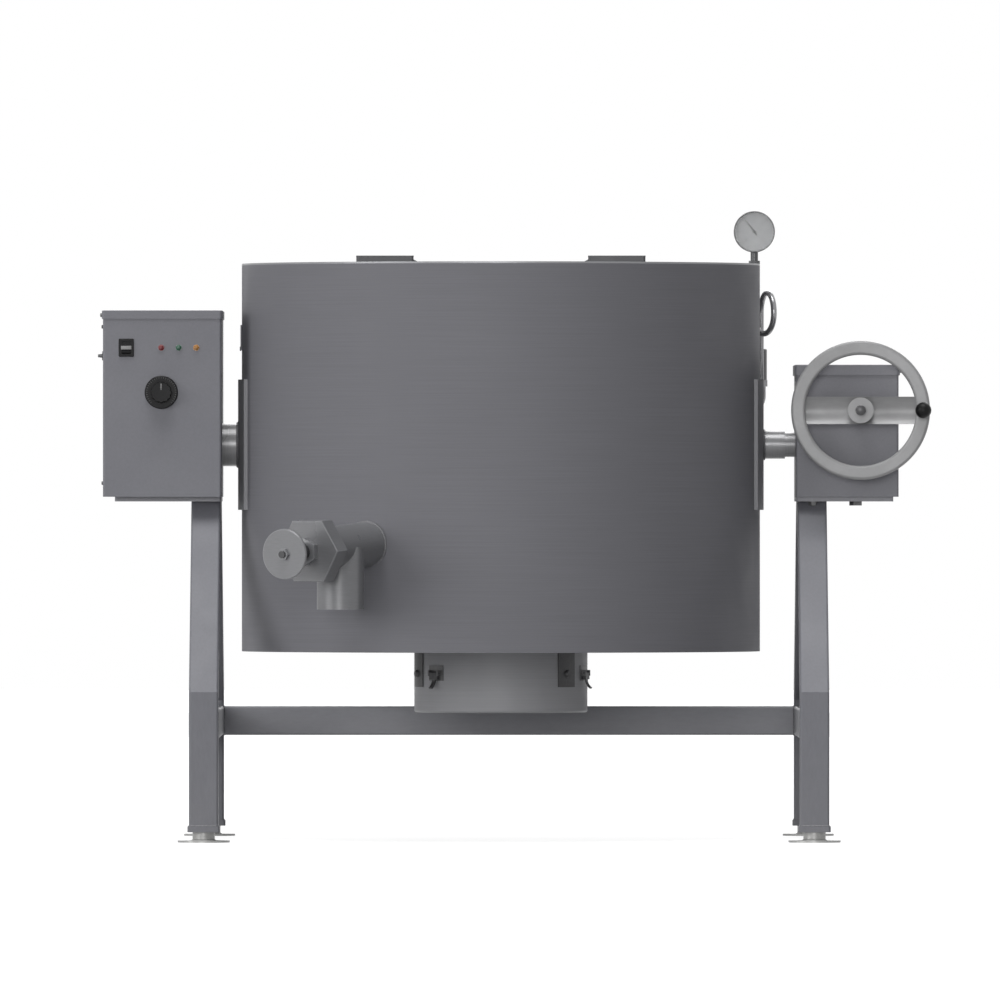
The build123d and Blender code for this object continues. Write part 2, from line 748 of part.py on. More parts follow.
# ---------------------------------------------------------------- gearbox
gearbox_top = tray_top + gearbox_height
gearbox_flange_inner = 7.0
gearbox_flange_outer = 20.0
gearbox_flange_side = 15.0
shaft_hole_gap = 3.0
with BuildPart() as gearbox_housing:
    with BuildSketch(Plane.XY.offset(tray_top)):
        with Locations((gearbox_centre_x, 0)):
            RectangleRounded(gearbox_width, gearbox_depth, box_edge_radius)
            RectangleRounded(gearbox_width - 2 * gearbox_sheet, gearbox_depth - 2 * gearbox_sheet,
                             box_edge_radius - gearbox_sheet, mode=Mode.SUBTRACT)
    extrude(amount=gearbox_height)
    with BuildSketch(Plane.XY.offset(tray_top)):
        with Locations((gearbox_centre_x, 0)):
            RectangleRounded(gearbox_width, gearbox_depth, box_edge_radius)
        with Locations((gearbox_inner_x + gearbox_flange_inner, 0)):
            Rectangle(gearbox_width - gearbox_flange_inner - gearbox_flange_outer,
                      gearbox_depth - 2 * gearbox_flange_side,
                      align=(Align.MIN, Align.CENTER), mode=Mode.SUBTRACT)
    extrude(amount=gearbox_sheet)
    with BuildSketch(across(gearbox_inner_x)):
        Circle(right_shaft_radius + shaft_hole_gap)
    extrude(amount=2 * gearbox_sheet, both=True, mode=Mode.SUBTRACT)
    with BuildSketch(front(worm_x, -gearbox_depth / 2, worm_height)):
        Circle(worm_shaft_radius + shaft_hole_gap)
    extrude(amount=2 * gearbox_sheet, both=True, mode=Mode.SUBTRACT)


def build_cap(centre_x, width, depth, body_top, sheet, skirt):
    """Shallow lid that drops over the open top of a box."""
    outer = 2 * (cap_gap + sheet)
    with BuildPart() as cap:
        with BuildSketch(Plane.XY.offset(body_top - skirt)):
            with Locations((centre_x, 0)):
                RectangleRounded(width + outer, depth + outer, box_edge_radius + cap_gap + sheet)
        extrude(amount=skirt + sheet)
        fillet(cap.faces().sort_by(Axis.Z)[-1].edges(), sheet * 0.8)
        with BuildSketch(Plane.XY.offset(body_top - skirt)):
            with Locations((centre_x, 0)):
                RectangleRounded(width + 2 * cap_gap, depth + 2 * cap_gap, box_edge_radius + cap_gap)
        extrude(amount=skirt, mode=Mode.SUBTRACT)
    return cap.part


gearbox_cap = build_cap(gearbox_centre_x, gearbox_width, gearbox_depth, gearbox_top,
                        gearbox_sheet - 0.5, gearbox_cap_skirt)


# ---------------------------------------------------------------- control box
box_outer_x = -(box_inner_x + box_width)
box_front_y = box_depth / 2
box_flange = 40.0
box_flange_inner = 7.0
switch_body_width = 22.0
switch_body_height = 27.0
switch_body_depth = 18.0
bezel_thickness = 2.5
panel_gap = 0.3
lamp_stub_radius = 4.0
lamp_collar = 1.2
lens_radius = 4.7
lens_height = 3.3
lens_curve = (lens_radius**2 + lens_height**2) / (2 * lens_height)
knob_shaft_radius = 3.0
lock_shaft_radius = 5.0
gland_thread_radius = 8.0
with BuildPart() as control_box_body:
    with BuildSketch(Plane.XY.offset(tray_top)):
        with Locations((box_centre_x, 0)):
            RectangleRounded(box_width, box_depth, box_edge_radius)
            RectangleRounded(box_width - 2 * box_sheet, box_depth - 2 * box_sheet,
                             box_edge_radius - box_sheet, mode=Mode.SUBTRACT)
    extrude(amount=box_height)
    with BuildSketch(Plane.XY.offset(tray_top)):
        with Locations((box_centre_x, 0)):
            RectangleRounded(box_width, box_depth, box_edge_radius)
        with Locations((-(box_inner_x + box_flange_inner), 0)):
            Rectangle(box_width - box_flange - box_flange_inner, box_depth - 2 * box_flange,
                      align=(Align.MAX, Align.CENTER), mode=Mode.SUBTRACT)
    extrude(amount=box_sheet)
    with BuildSketch(front(0, -box_front_y, panel_row_height)):
        with Locations((switch_x, 0)):
            Rectangle(switch_body_width + 2 * panel_gap, switch_body_height + 2 * panel_gap)
        with Locations(*[(x, 0) for x in lamp_x]):
            Circle(lamp_stub_radius + panel_gap)
        with Locations((knob_x, knob_height - panel_row_height)):
            Circle(knob_shaft_radius + running_gap)
    extrude(amount=2 * box_sheet, both=True, mode=Mode.SUBTRACT)
    with BuildSketch(front(box_centre_x, box_front_y, gland_height)):
        Circle(gland_thread_radius + panel_gap)
    extrude(amount=2 * box_sheet, both=True, mode=Mode.SUBTRACT)
    with BuildSketch(across(-box_inner_x)):
        Circle(left_trunnion_radius + shaft_hole_gap)
    extrude(amount=2 * box_sheet, both=True, mode=Mode.SUBTRACT)
    with BuildSketch(across(box_outer_x)):
        with Locations((0, lock_height - tilt_height)):
            Circle(lock_shaft_radius + running_gap)
    extrude(amount=2 * box_sheet, both=True, mode=Mode.SUBTRACT)

control_box_cap = build_cap(box_centre_x, box_width, box_depth, box_top, box_sheet, cap_skirt)

pocket_width = 15.0
pocket_height = 22.0
pocket_depth = 15.0
rocker_pin_radius = 1.5
rocker_pin_depth = 3.0
with BuildPart() as switch_bezel:
    with BuildSketch(front(switch_x, -box_front_y, panel_row_height)):
        RectangleRounded(switch_width, switch_height, 2.0)
    extrude(amount=bezel_thickness)
    with BuildSketch(front(switch_x, -box_front_y, panel_row_height)):
        Rectangle(switch_body_width, switch_body_height)
    extrude(amount=-switch_body_depth)
    chamfer(switch_bezel.faces().sort_by(Axis.Y)[0].edges(), 0.8)
    with BuildSketch(front(switch_x, -box_front_y - bezel_thickness, panel_row_height)):
        Rectangle(pocket_width, pocket_height)
    extrude(amount=-pocket_depth, mode=Mode.SUBTRACT)
    with BuildSketch(Plane(origin=(switch_x, -box_front_y + rocker_pin_depth, panel_row_height),
                           x_dir=(0, 1, 0), z_dir=(1, 0, 0))):
        Circle(rocker_pin_radius + running_gap)
    extrude(amount=switch_body_width / 2 - 1.0, both=True, mode=Mode.SUBTRACT)

rocker_swing = 9.0
rocker_half_height = 9.6
rocker_crown = 5.0
rocker_tail = 7.0
rocker_centre = Plane(origin=(switch_x, -box_front_y + rocker_pin_depth, panel_row_height),
                      x_dir=(0, -cos(radians(rocker_swing)), sin(radians(rocker_swing))), z_dir=(-1, 0, 0))
with BuildPart() as power_rocker:
    with BuildSketch(rocker_centre):
        with BuildLine():
            Polyline(
                (rocker_crown + 1.6, rocker_half_height),
                (rocker_crown, 0),
                (rocker_crown + 1.6, -rocker_half_height),
                (-rocker_tail * 0.3, -rocker_half_height * 0.9),
                (-rocker_tail, 0),
                (-rocker_tail * 0.3, rocker_half_height * 0.9),
                close=True,
            )
        make_face()
    extrude(amount=pocket_width / 2 - 0.5, both=True)
    with BuildSketch(rocker_centre):
        Circle(rocker_pin_radius)
    extrude(amount=switch_body_width / 2 - 1.2, both=True)


def build_lamp(x):
    """Pilot lamp: domed lens and collar in front of the panel, stub and terminals behind."""
    with BuildPart() as lamp:
        with BuildSketch(Plane(origin=(x, -box_front_y, panel_row_height), x_dir=(1, 0, 0), z_dir=(0, 0, 1))):
            with BuildLine():
                Polyline((0, -lamp_collar - lens_height), (0, 20.0), (lamp_stub_radius, 20.0),
                         (lamp_stub_radius, 0), (lamp_radius, 0), (lamp_radius, -lamp_collar),
                         (lens_radius, -lamp_collar))
                RadiusArc((lens_radius, -lamp_collar), (0, -lamp_collar - lens_height), lens_curve)
            make_face()
        revolve(axis=Axis((x, 0, panel_row_height), (0, 1, 0)))
    return lamp.part


red_lamp, green_lamp, amber_lamp = [build_lamp(x) for x in lamp_x]

knob_grip_radius = 18.0
knob_flange = 5.0
with BuildPart() as thermostat_knob:
    with BuildSketch(front(knob_x, -box_front_y - touch_gap, knob_height)):
        Circle(knob_radius)
    extrude(amount=knob_flange)
    chamfer(thermostat_knob.faces().sort_by(Axis.Y)[0].edges(), 1.5)
    with BuildSketch(front(knob_x, -box_front_y - touch_gap - knob_flange, knob_height)):
        Circle(knob_grip_radius)
        with PolarLocations(knob_grip_radius + 1.2, 12, start_angle=15.0):
            Circle(2.6, mode=Mode.SUBTRACT)
    extrude(amount=knob_depth - knob_flange, taper=3.0)
    with BuildSketch(front(knob_x, -box_front_y - touch_gap, knob_height)):
        Circle(knob_shaft_radius)
    extrude(amount=-20.0)

lock_radius = 8.0
with BuildPart() as cam_lock:
    lock_plane = Plane(origin=(box_outer_x - touch_gap, 0, lock_height), x_dir=(0, 1, 0), z_dir=(-1, 0, 0))
    with BuildSketch(lock_plane):
        Circle(lock_radius)
    extrude(amount=3.5)
    with BuildSketch(lock_plane.offset(3.5)):
        RectangleRounded(24.0, 7.0, 3.0)
    extrude(amount=7.0, taper=8.0)
    with BuildSketch(lock_plane):
        Circle(lock_shaft_radius)
    extrude(amount=-12.0)
    with BuildSketch(lock_plane.offset(-12.0)):
        with Locations((0, 10.0)):
            RectangleRounded(12.0, 34.0, 3.0)
    extrude(amount=2.5)

gland_flats = 24.0
with BuildPart() as cable_gland:
    with BuildSketch(back(box_centre_x, box_front_y, gland_height)):
        RegularPolygon(gland_flats / 2, 6, major_radius=False)
    extrude(amount=7.0)
    with BuildSketch(back(box_centre_x, box_front_y + 7.0, gland_height)):
        Circle(11.0)
    extrude(amount=16.0, taper=6.0)
    fillet(cable_gland.edges().filter_by(GeomType.CIRCLE).sort_by(Axis.Y)[-1], 1.2)
    with BuildSketch(back(box_centre_x, box_front_y, gland_height)):
        Circle(gland_thread_radius)
    extrude(amount=-10.0)
    with BuildSketch(back(box_centre_x, box_front_y - 10.0, gland_height)):
        Circle(gland_bore_radius)
    extrude(amount=34.0, mode=Mode.SUBTRACT)

contactor_x = box_centre_x - 45.5
contactor_z = tray_top + 156.5
with BuildPart() as contactor:
    with BuildSketch(front(contactor_x, box_front_y - box_sheet, contactor_z)):
        RectangleRounded(46.0, 76.0, 2.0)
    extrude(amount=34.0)
    with BuildSketch(front(contactor_x, box_front_y - box_sheet - 34.0, contactor_z)):
        RectangleRounded(42.0, 40.0, 2.0)
    extrude(amount=30.0)
    with BuildSketch(front(contactor_x, box_front_y - box_sheet - 34.0, contactor_z)):
        with GridLocations(14.0, 60.0, 3, 2):
            Circle(3.5)
    extrude(amount=-3.0, mode=Mode.SUBTRACT)


# ---------------------------------------------------------------- element drum below the shell
drum_edge_radius = 4.0
bracket_bolt_radius = 4.0
bracket_bolt_height = shell_bottom - bracket_bolt_drop
bracket_flange = 16.0
with BuildPart() as element_drum:
    with BuildSketch(Plane.XY.offset(drum_bottom)):
        with Locations((kettle_x, 0)):
            Circle(drum_radius)
    extrude(amount=shell_bottom - drum_bottom)
    fillet(element_drum.edges().sort_by(Axis.Z)[0], drum_edge_radius)
    with BuildSketch(Plane.XY.offset(drum_bottom + drum_wall)):
        with Locations((kettle_x, 0)):
            Circle(drum_radius - drum_wall)
    extrude(amount=shell_bottom - drum_bottom - drum_wall, mode=Mode.SUBTRACT)
    for azimuth in bracket_azimuths:
        with BuildSketch(spoke(azimuth, drum_radius + bracket_thickness, bracket_bolt_height)):
            Circle(bracket_bolt_radius + bolt_gap)
        extrude(amount=-4 * bracket_thickness, mode=Mode.SUBTRACT)


def build_curved_sheet(azimuth, inner, thickness, width, bottom, height):
    """Upright sheet rolled to the drum's curve."""
    with BuildPart() as sheet:
        with BuildSketch(Plane.XY.offset(bottom)):
            with Locations((kettle_x, 0)):
                Circle(inner + thickness)
                Circle(inner, mode=Mode.SUBTRACT)
            with Locations(Location((kettle_x, 0, 0), (0, 0, azimuth))):
                Rectangle(2 * inner, width, align=(Align.MIN, Align.CENTER), mode=Mode.INTERSECT)
        extrude(amount=height)
    return sheet.part


bracket_inner = drum_radius + touch_gap
bracket_bolt_head = 4.5
with BuildPart() as hanger_brackets:
    for azimuth in bracket_azimuths:
        add(build_curved_sheet(azimuth, bracket_inner, bracket_thickness, bracket_width,
                               shell_bottom - bracket_height, bracket_height))
        add(build_curved_sheet(azimuth, bracket_inner, bracket_flange, bracket_width,
                               shell_bottom - bracket_thickness, bracket_thickness))
        with BuildSketch(spoke(azimuth, bracket_inner + 2 * bracket_thickness, bracket_bolt_height)):
            Circle(bracket_bolt_radius + bolt_gap)
        extrude(amount=-4 * bracket_thickness, mode=Mode.SUBTRACT)
    for azimuth in bracket_azimuths:
        with BuildSketch(spoke(azimuth, bracket_inner + bracket_thickness + touch_gap, bracket_bolt_height)):
            Circle(bracket_bolt_radius + 2.5)
        extrude(amount=bracket_bolt_head, taper=15.0)
        with BuildSketch(spoke(azimuth, bracket_inner + bracket_thickness + touch_gap, bracket_bolt_height)):
            Circle(bracket_bolt_radius)
        extrude(amount=-16.0)
        with BuildSketch(spoke(azimuth, drum_radius - drum_wall - 1.0, bracket_bolt_height)):
            RegularPolygon(6.5, 6, major_radius=False)
        extrude(amount=-6.5)

terminal_radius = 3.0
with BuildPart() as single_element:
    with BuildSketch(Plane.XY.offset(sump_bottom)):
        RegularPolygon(element_flats / 2, 6, major_radius=False)
    extrude(amount=-element_head)
    with BuildSketch(Plane.XY.offset(sump_bottom)):
        Circle(element_spigot_radius)
    extrude(amount=sump_floor + 2.0)
    with BuildLine() as element_line:
        bend_height = sump_bottom + element_height - element_half_pitch
        up_line = Line((-element_half_pitch, 0, sump_bottom), (-element_half_pitch, 0, bend_height))
        bend = ThreePointArc(up_line @ 1, (0, 0, bend_height + element_half_pitch),
                             (element_half_pitch, 0, bend_height))
        Line(bend @ 1, (element_half_pitch, 0, sump_bottom))
    with BuildSketch(Plane(origin=(-element_half_pitch, 0, sump_bottom), z_dir=(0, 0, 1))):
        Circle(element_tube_radius)
    sweep(path=element_line.line)
    with BuildSketch(Plane.XY.offset(sump_bottom - element_head)):
        with GridLocations(element_half_pitch, 0, 2, 1):
            Circle(terminal_radius)
    extrude(amount=-terminal_length)

with BuildPart() as heating_elements:
    with Locations((kettle_x, 0, 0)):
        with PolarLocations(element_circle_radius, 3):
            add(single_element.part)

latch_plate_bottom = 273.0
latch_plate_height = 26.0
latch_plate_width = 35.0
latch_plate_thickness = 1.5
latch_pivot_height = 286.0
latch_pivot_radius = 1.5
latch_width = 20.0
latch_ear = 2.0
latch_ear_gap = 0.3
latch_drop = 11.0
latch_plate_outer = bracket_inner + latch_plate_thickness
latch_pivot_reach = latch_plate_outer + 3.2
with BuildPart() as latch_plates:
    for azimuth in latch_azimuths:
        add(build_curved_sheet(azimuth, bracket_inner, latch_plate_thickness, latch_plate_width,
                               latch_plate_bottom, latch_plate_height))
        with BuildSketch(spoke(azimuth, bracket_inner + latch_plate_thickness * 0.2, latch_pivot_height)):
            with GridLocations(latch_width + 2 * latch_ear_gap + latch_ear, 0, 2, 1):
                Rectangle(latch_ear, 10.0)
        extrude(amount=8.0)
        with BuildSketch(Plane(origin=spoke(azimuth, latch_pivot_reach, latch_pivot_height).origin,
                               z_dir=spoke(azimuth, latch_pivot_reach, 0).x_dir)):
            Circle(latch_pivot_radius + running_gap)
        extrude(amount=latch_width, both=True, mode=Mode.SUBTRACT)


def build_latch_lever(azimuth):
    """Latch lever: a block on a cross pin between the plate's ears, with a tail that curls outwards."""
    knuckle_radius = latch_pivot_reach - latch_plate_outer - touch_gap
    seat = spoke(azimuth, latch_pivot_reach, latch_pivot_height)
    side_plane = Plane(origin=seat.origin, x_dir=seat.z_dir, z_dir=seat.z_dir.cross(Vector(0, 0, 1)))
    with BuildPart() as lever:
        with BuildSketch(side_plane):
            Circle(knuckle_radius)
            Rectangle(2 * knuckle_radius, latch_drop, align=(Align.CENTER, Align.MAX))
        extrude(amount=latch_width / 2, both=True)
        with BuildSketch(side_plane):
            with BuildLine():
                ThreePointArc((0.8, 2.0 - latch_drop), (2.0, -18.0), (9.0, -26.0))
            trace(line_width=2.6)
        extrude(amount=4.0, both=True)
        with BuildSketch(side_plane):
            Circle(latch_pivot_radius)
        extrude(amount=latch_width / 2 + latch_ear_gap + latch_ear, both=True)
    return lever.part


left_latch_lever, right_latch_lever, rear_latch_lever = [
    build_latch_lever(azimuth) for azimuth in latch_azimuths
]


# ---------------------------------------------------------------- draw-off valve
valve_bore_radius = valve_tube_radius - valve_tube_wall
spout_centre = valve_plane.from_local_coords((0, 0, spout_reach))
spout_bore_radius = spout_radius - spout_wall
bonnet_reach = valve_reach + bonnet_thickness
seat_front = seat_reach + seat_thickness
with BuildPart() as draw_off_body:
    with BuildSketch(valve_plane.offset(-valve_inner_reach)):
        Circle(valve_tube_radius)
    extrude(amount=valve_inner_reach + valve_reach)
    with BuildSketch(Plane.XY.offset(spout_mouth)):
        with Locations((spout_centre.X, spout_centre.Y)):
            Circle(spout_radius)
    extrude(amount=spout_centre.Z - spout_mouth)
    with BuildSketch(valve_plane.offset(-valve_inner_reach)):
        Circle(valve_bore_radius)
    extrude(amount=valve_inner_reach + seat_reach, mode=Mode.SUBTRACT)
    with BuildSketch(valve_plane.offset(seat_reach)):
        Circle(seat_hole_radius)
    extrude(amount=seat_thickness, mode=Mode.SUBTRACT)
    with BuildSketch(valve_plane.offset(seat_front)):
        Circle(valve_bore_radius)
    extrude(amount=valve_reach - seat_front, mode=Mode.SUBTRACT)
    with BuildSketch(Plane.XY.offset(spout_mouth)):
        with Locations((spout_centre.X, spout_centre.Y)):
            Circle(spout_bore_radius)
    extrude(amount=spout_centre.Z - spout_mouth, mode=Mode.SUBTRACT)
    with BuildSketch(Plane.XY.offset(spout_mouth)):
        with Locations((spout_centre.X, spout_centre.Y)):
            Circle(spout_socket_radius)
    extrude(amount=spout_socket_depth, mode=Mode.SUBTRACT)
    add(bowl_space.part, mode=Mode.SUBTRACT)

bonnet_bore_radius = spindle_radius + running_gap
with BuildPart() as draw_off_bonnet:
    with BuildSketch(valve_plane.offset(valve_reach)):
        RegularPolygon(bonnet_flats / 2, 6, major_radius=False)
    extrude(amount=bonnet_thickness)
    chamfer(draw_off_bonnet.faces().sort_by(Axis(valve_plane.origin, valve_out))[-1].edges(), 1.2)
    with BuildSketch(valve_plane.offset(valve_reach)):
        Circle(valve_bore_radius - weld_gap)
    extrude(amount=-bonnet_spigot)
    with BuildSketch(valve_plane.offset(bonnet_reach)):
        Circle(bonnet_bore_radius)
    extrude(amount=-bonnet_thickness - bonnet_spigot, mode=Mode.SUBTRACT)

plug_front = seat_front + plug_thickness
plug_boss = 12.0
plug_boss_radius = 17.0
socket_floor = plug_front + 2.0
plug_seat_gap = 0.1
with BuildPart() as draw_off_plug:
    with BuildSketch(valve_plane.offset(seat_front + plug_seat_gap)):
        Circle(plug_radius)
    extrude(amount=plug_thickness - plug_seat_gap)
    with BuildSketch(valve_plane.offset(plug_front)):
        Circle(plug_boss_radius)
    extrude(amount=plug_boss)
    with BuildSketch(valve_plane.offset(plug_front + plug_boss)):
        Circle(spindle_neck_radius + running_gap)
    extrude(amount=socket_floor - plug_front - plug_boss, mode=Mode.SUBTRACT)

disc_back = bonnet_reach + disc_reach
stud_end = disc_back + disc_thickness + 8.0
spindle_shoulder = valve_reach - 8.0
with BuildPart() as draw_off_stem:
    with BuildSketch(valve_plane.offset(socket_floor + touch_gap)):
        Circle(spindle_neck_radius)
    extrude(amount=spindle_shoulder - socket_floor - touch_gap)
    with BuildSketch(valve_plane.offset(spindle_shoulder)):
        Circle(spindle_radius)
    extrude(amount=disc_back - spindle_shoulder)
    with BuildSketch(valve_plane.offset(disc_back)):
        Circle(disc_bolt_radius)
    extrude(amount=stud_end - disc_back)

disc_edge = 1.5
with BuildPart() as draw_off_wheel:
    with BuildSketch(valve_plane.offset(disc_back)):
        Circle(disc_radius)
    extrude(amount=disc_thickness)
    chamfer(draw_off_wheel.edges().filter_by(GeomType.CIRCLE), disc_edge)
    with BuildSketch(valve_plane.offset(disc_back + disc_thickness)):
        RegularPolygon(9.0, 6, major_radius=False)
    extrude(amount=5.0)
    with BuildSketch(valve_plane.offset(disc_back)):
        Circle(disc_bolt_radius + running_gap)
    extrude(amount=disc_thickness + 5.0, mode=Mode.SUBTRACT)


# ---------------------------------------------------------------- jacket fittings, gauge and relief valve
fittings = spoke(fitting_azimuth, shell_radius + fitting_reach, 0)
fitting_flats = 20.0
riser_bend = 20.0
branch_height = fitting_inlet_height + 24.0
branch_bend = 10.0
relief_base = branch_height + 13.0
relief_bonnet_base = relief_base + 8.0
relief_bonnet_top = relief_base + 2.0 + relief_height


def fitting_point(along, height, out=0.0):
    """Point by the fittings: along the shell towards the back, height above the floor, and outwards."""
    return fittings.from_local_coords((along, height, out))


def fitting_level(along, height, out=0.0):
    """Level plane, facing up, centred on a point by the fittings."""
    return Plane(origin=fitting_point(along, height, out), x_dir=fittings.x_dir, z_dir=(0, 0, 1))


with BuildPart() as pressure_manifold:
    with BuildLine() as riser_line:
        FilletPolyline(
            fitting_point(0, fitting_inlet_height, jacket_radius + touch_gap - shell_radius - fitting_reach),
            fitting_point(0, fitting_inlet_height),
            fitting_point(0, siphon_foot_height),
            radius=riser_bend,
        )
    with BuildSketch(spoke(fitting_azimuth, jacket_radius + touch_gap, fitting_inlet_height)):
        Circle(pipe_radius)
    sweep(path=riser_line.line)
    with BuildLine() as branch_line:
        FilletPolyline(
            fitting_point(0, branch_height),
            fitting_point(relief_offset, branch_height),
            fitting_point(relief_offset, relief_base),
            radius=branch_bend,
        )
    with BuildSketch(Plane(origin=fitting_point(0, branch_height), z_dir=fittings.x_dir)):
        Circle(pipe_radius)
    sweep(path=branch_line.line)
    with BuildSketch(Plane(origin=fitting_point(12.0, branch_height), z_dir=fittings.x_dir)):
        RegularPolygon(fitting_flats / 2, 6, major_radius=False)
    extrude(amount=10.0)
    with BuildSketch(fitting_level(0, siphon_foot_height)):
        RegularPolygon(fitting_flats / 2, 6, major_radius=False)
    extrude(amount=-11.0)

siphon_low = siphon_loop_height - siphon_loop_radius
siphon_high = siphon_loop_height + siphon_loop_radius
gauge_nut_base = gauge_height - gauge_radius - 25.5
with BuildPart() as gauge_siphon:
    with BuildLine() as siphon_line:
        FilletPolyline(
            fitting_point(0, siphon_foot_height),
            fitting_point(0, siphon_high),
            fitting_point(-2 * siphon_loop_radius, siphon_high),
            fitting_point(-2 * siphon_loop_radius, siphon_low),
            fitting_point(0, siphon_low, -siphon_shift),
            fitting_point(0, gauge_nut_base, -siphon_shift),
            radius=siphon_loop_radius - 1.0,
        )
    with BuildSketch(fitting_level(0, siphon_foot_height)):
        Circle(siphon_radius)
    sweep(path=siphon_line.line)

gauge_place = fitting_point(0, gauge_height, -siphon_shift)
gauge_front = gauge_place.Y - gauge_depth / 2
gauge_inner_radius = gauge_radius - gauge_wall
glass_seat = gauge_front + 3.0
dial_seat = gauge_front + 8.0
dial_thickness = 1.0
pointer_shaft_radius = 1.5
with BuildPart() as gauge_case:
    with BuildSketch(front(gauge_place.X, gauge_front, gauge_height)):
        Circle(gauge_radius)
    extrude(amount=-gauge_depth)
    fillet(gauge_case.edges().filter_by(GeomType.CIRCLE), 1.0)
    with BuildSketch(fitting_level(0, gauge_nut_base, -siphon_shift)):
        RegularPolygon(gauge_nut_flats / 2, 6, major_radius=False)
    extrude(amount=gauge_nut_height)
    with BuildSketch(fitting_level(0, gauge_nut_base, -siphon_shift)):
        Circle(gauge_stem_radius)
    extrude(amount=gauge_height - gauge_nut_base - gauge_radius + 4.0)
    with BuildSketch(front(gauge_place.X, gauge_front, gauge_height)):
        Circle(gauge_inner_radius + 0.7)
    extrude(amount=-(glass_seat - gauge_front), mode=Mode.SUBTRACT)
    with BuildSketch(front(gauge_place.X, glass_seat, gauge_height)):
        Circle(gauge_inner_radius)
    extrude(amount=-(dial_seat + dial_thickness - glass_seat), mode=Mode.SUBTRACT)
    with BuildSketch(front(gauge_place.X, dial_seat + dial_thickness, gauge_height)):
        Circle(gauge_inner_radius - 4.0)
    extrude(amount=-(gauge_depth - 8.0 - dial_thickness - gauge_wall), mode=Mode.SUBTRACT)

with BuildPart() as gauge_dial:
    with BuildSketch(front(gauge_place.X, dial_seat, gauge_height)):
        Circle(gauge_inner_radius - touch_gap)
        Circle(pointer_shaft_radius + running_gap, mode=Mode.SUBTRACT)
    extrude(amount=-dial_thickness)

with BuildPart() as gauge_glass:
    with BuildSketch(front(gauge_place.X, glass_seat, gauge_height)):
        Circle(gauge_inner_radius + 0.7 - touch_gap)
    extrude(amount=2.0)

pointer_angle = 37.0
pointer_length = 25.0
pointer_face = dial_seat - 1.2
with BuildPart() as gauge_pointer:
    with BuildSketch(front(gauge_place.X, pointer_face, gauge_height)):
        Circle(3.4)
        Polygon((-1.6, -8.0), (1.6, -8.0), (0.5, pointer_length), (-0.5, pointer_length),
                rotation=pointer_angle, align=None)
    extrude(amount=1.0)
    with BuildSketch(front(gauge_place.X, pointer_face, gauge_height)):
        Circle(pointer_shaft_radius)
    extrude(amount=-6.0)

fork_width = 14.0
fork_height = 14.0
lever_thickness = 4.0
lever_length = 46.0
lever_pin_radius = 2.0
lever_pivot_height = relief_bonnet_top + 7.5
with BuildPart() as relief_valve_body:
    with BuildSketch(fitting_level(relief_offset, relief_base)):
        RegularPolygon(fitting_flats / 2 + 2.0, 6, major_radius=False)
    extrude(amount=relief_bonnet_base - relief_base)
    with BuildSketch(fitting_level(relief_offset, relief_bonnet_base)):
        Circle(relief_radius)
    extrude(amount=relief_bonnet_top - relief_bonnet_base)
    chamfer(relief_valve_body.edges().filter_by(GeomType.CIRCLE), 1.5)
    with BuildSketch(fitting_level(relief_offset, relief_bonnet_base + 3.0)):
        Circle(relief_radius - 3.0)
    extrude(amount=relief_bonnet_top - relief_bonnet_base - 6.0, mode=Mode.SUBTRACT)
    with BuildSketch(fitting_level(relief_offset, relief_bonnet_base + 3.0)):
        Circle(relief_radius - 10.0)
    extrude(amount=relief_bonnet_top - relief_bonnet_base - 6.0)
    with BuildSketch(Plane(origin=fitting_point(relief_offset, relief_bonnet_base + 14.0),
                           x_dir=(0, 0, 1), z_dir=fittings.x_dir)):
        Circle(4.0)
    extrude(amount=relief_radius, both=True, mode=Mode.SUBTRACT)
    with BuildSketch(fitting_level(relief_offset, relief_bonnet_top)):
        RectangleRounded(fork_width, fork_width, 3.0)
    extrude(amount=fork_height)
    with BuildSketch(fitting_level(relief_offset, relief_bonnet_top + fork_height)):
        Rectangle(fork_width, lever_thickness + 2 * touch_gap)
    extrude(amount=-fork_height + 1.5, mode=Mode.SUBTRACT)
    with BuildSketch(Plane(origin=fitting_point(relief_offset, lever_pivot_height), z_dir=fittings.z_dir)):
        Circle(lever_pin_radius + running_gap)
    extrude(amount=fork_width, both=True, mode=Mode.SUBTRACT)

with BuildPart() as relief_valve_lever:
    lever_side = Plane(origin=fitting_point(relief_offset, lever_pivot_height), x_dir=fittings.x_dir,
                       z_dir=fittings.z_dir)
    with BuildSketch(lever_side):
        Circle(5.0)
        with Locations((lever_length - 3.0, 3.0)):
            Circle(3.0)
        make_hull()
    extrude(amount=lever_thickness / 2, both=True)
    with BuildSketch(lever_side):
        Circle(lever_pin_radius)
    extrude(amount=fork_width / 2, both=True)


# ---------------------------------------------------------------- covers and their handles
cover_top = ledge_top + cover_thickness
with BuildPart() as right_cover:
    with BuildSketch(Plane.XY.offset(ledge_top)):
        with Locations((kettle_x, 0)):
            Circle(cover_radius)
        with Locations((kettle_x + cover_split / 2, 0)):
            Rectangle(cover_radius, 2 * cover_radius, align=(Align.MIN, Align.CENTER), mode=Mode.INTERSECT)
    extrude(amount=cover_thickness)
    with BuildSketch(Plane.XY.offset(ledge_top)):
        with Locations((kettle_x + cover_split / 2, 0)):
            Rectangle(cover_clearance, 2 * (bowl_radius - cover_flange), align=(Align.MIN, Align.CENTER))
    extrude(amount=-cover_flange)

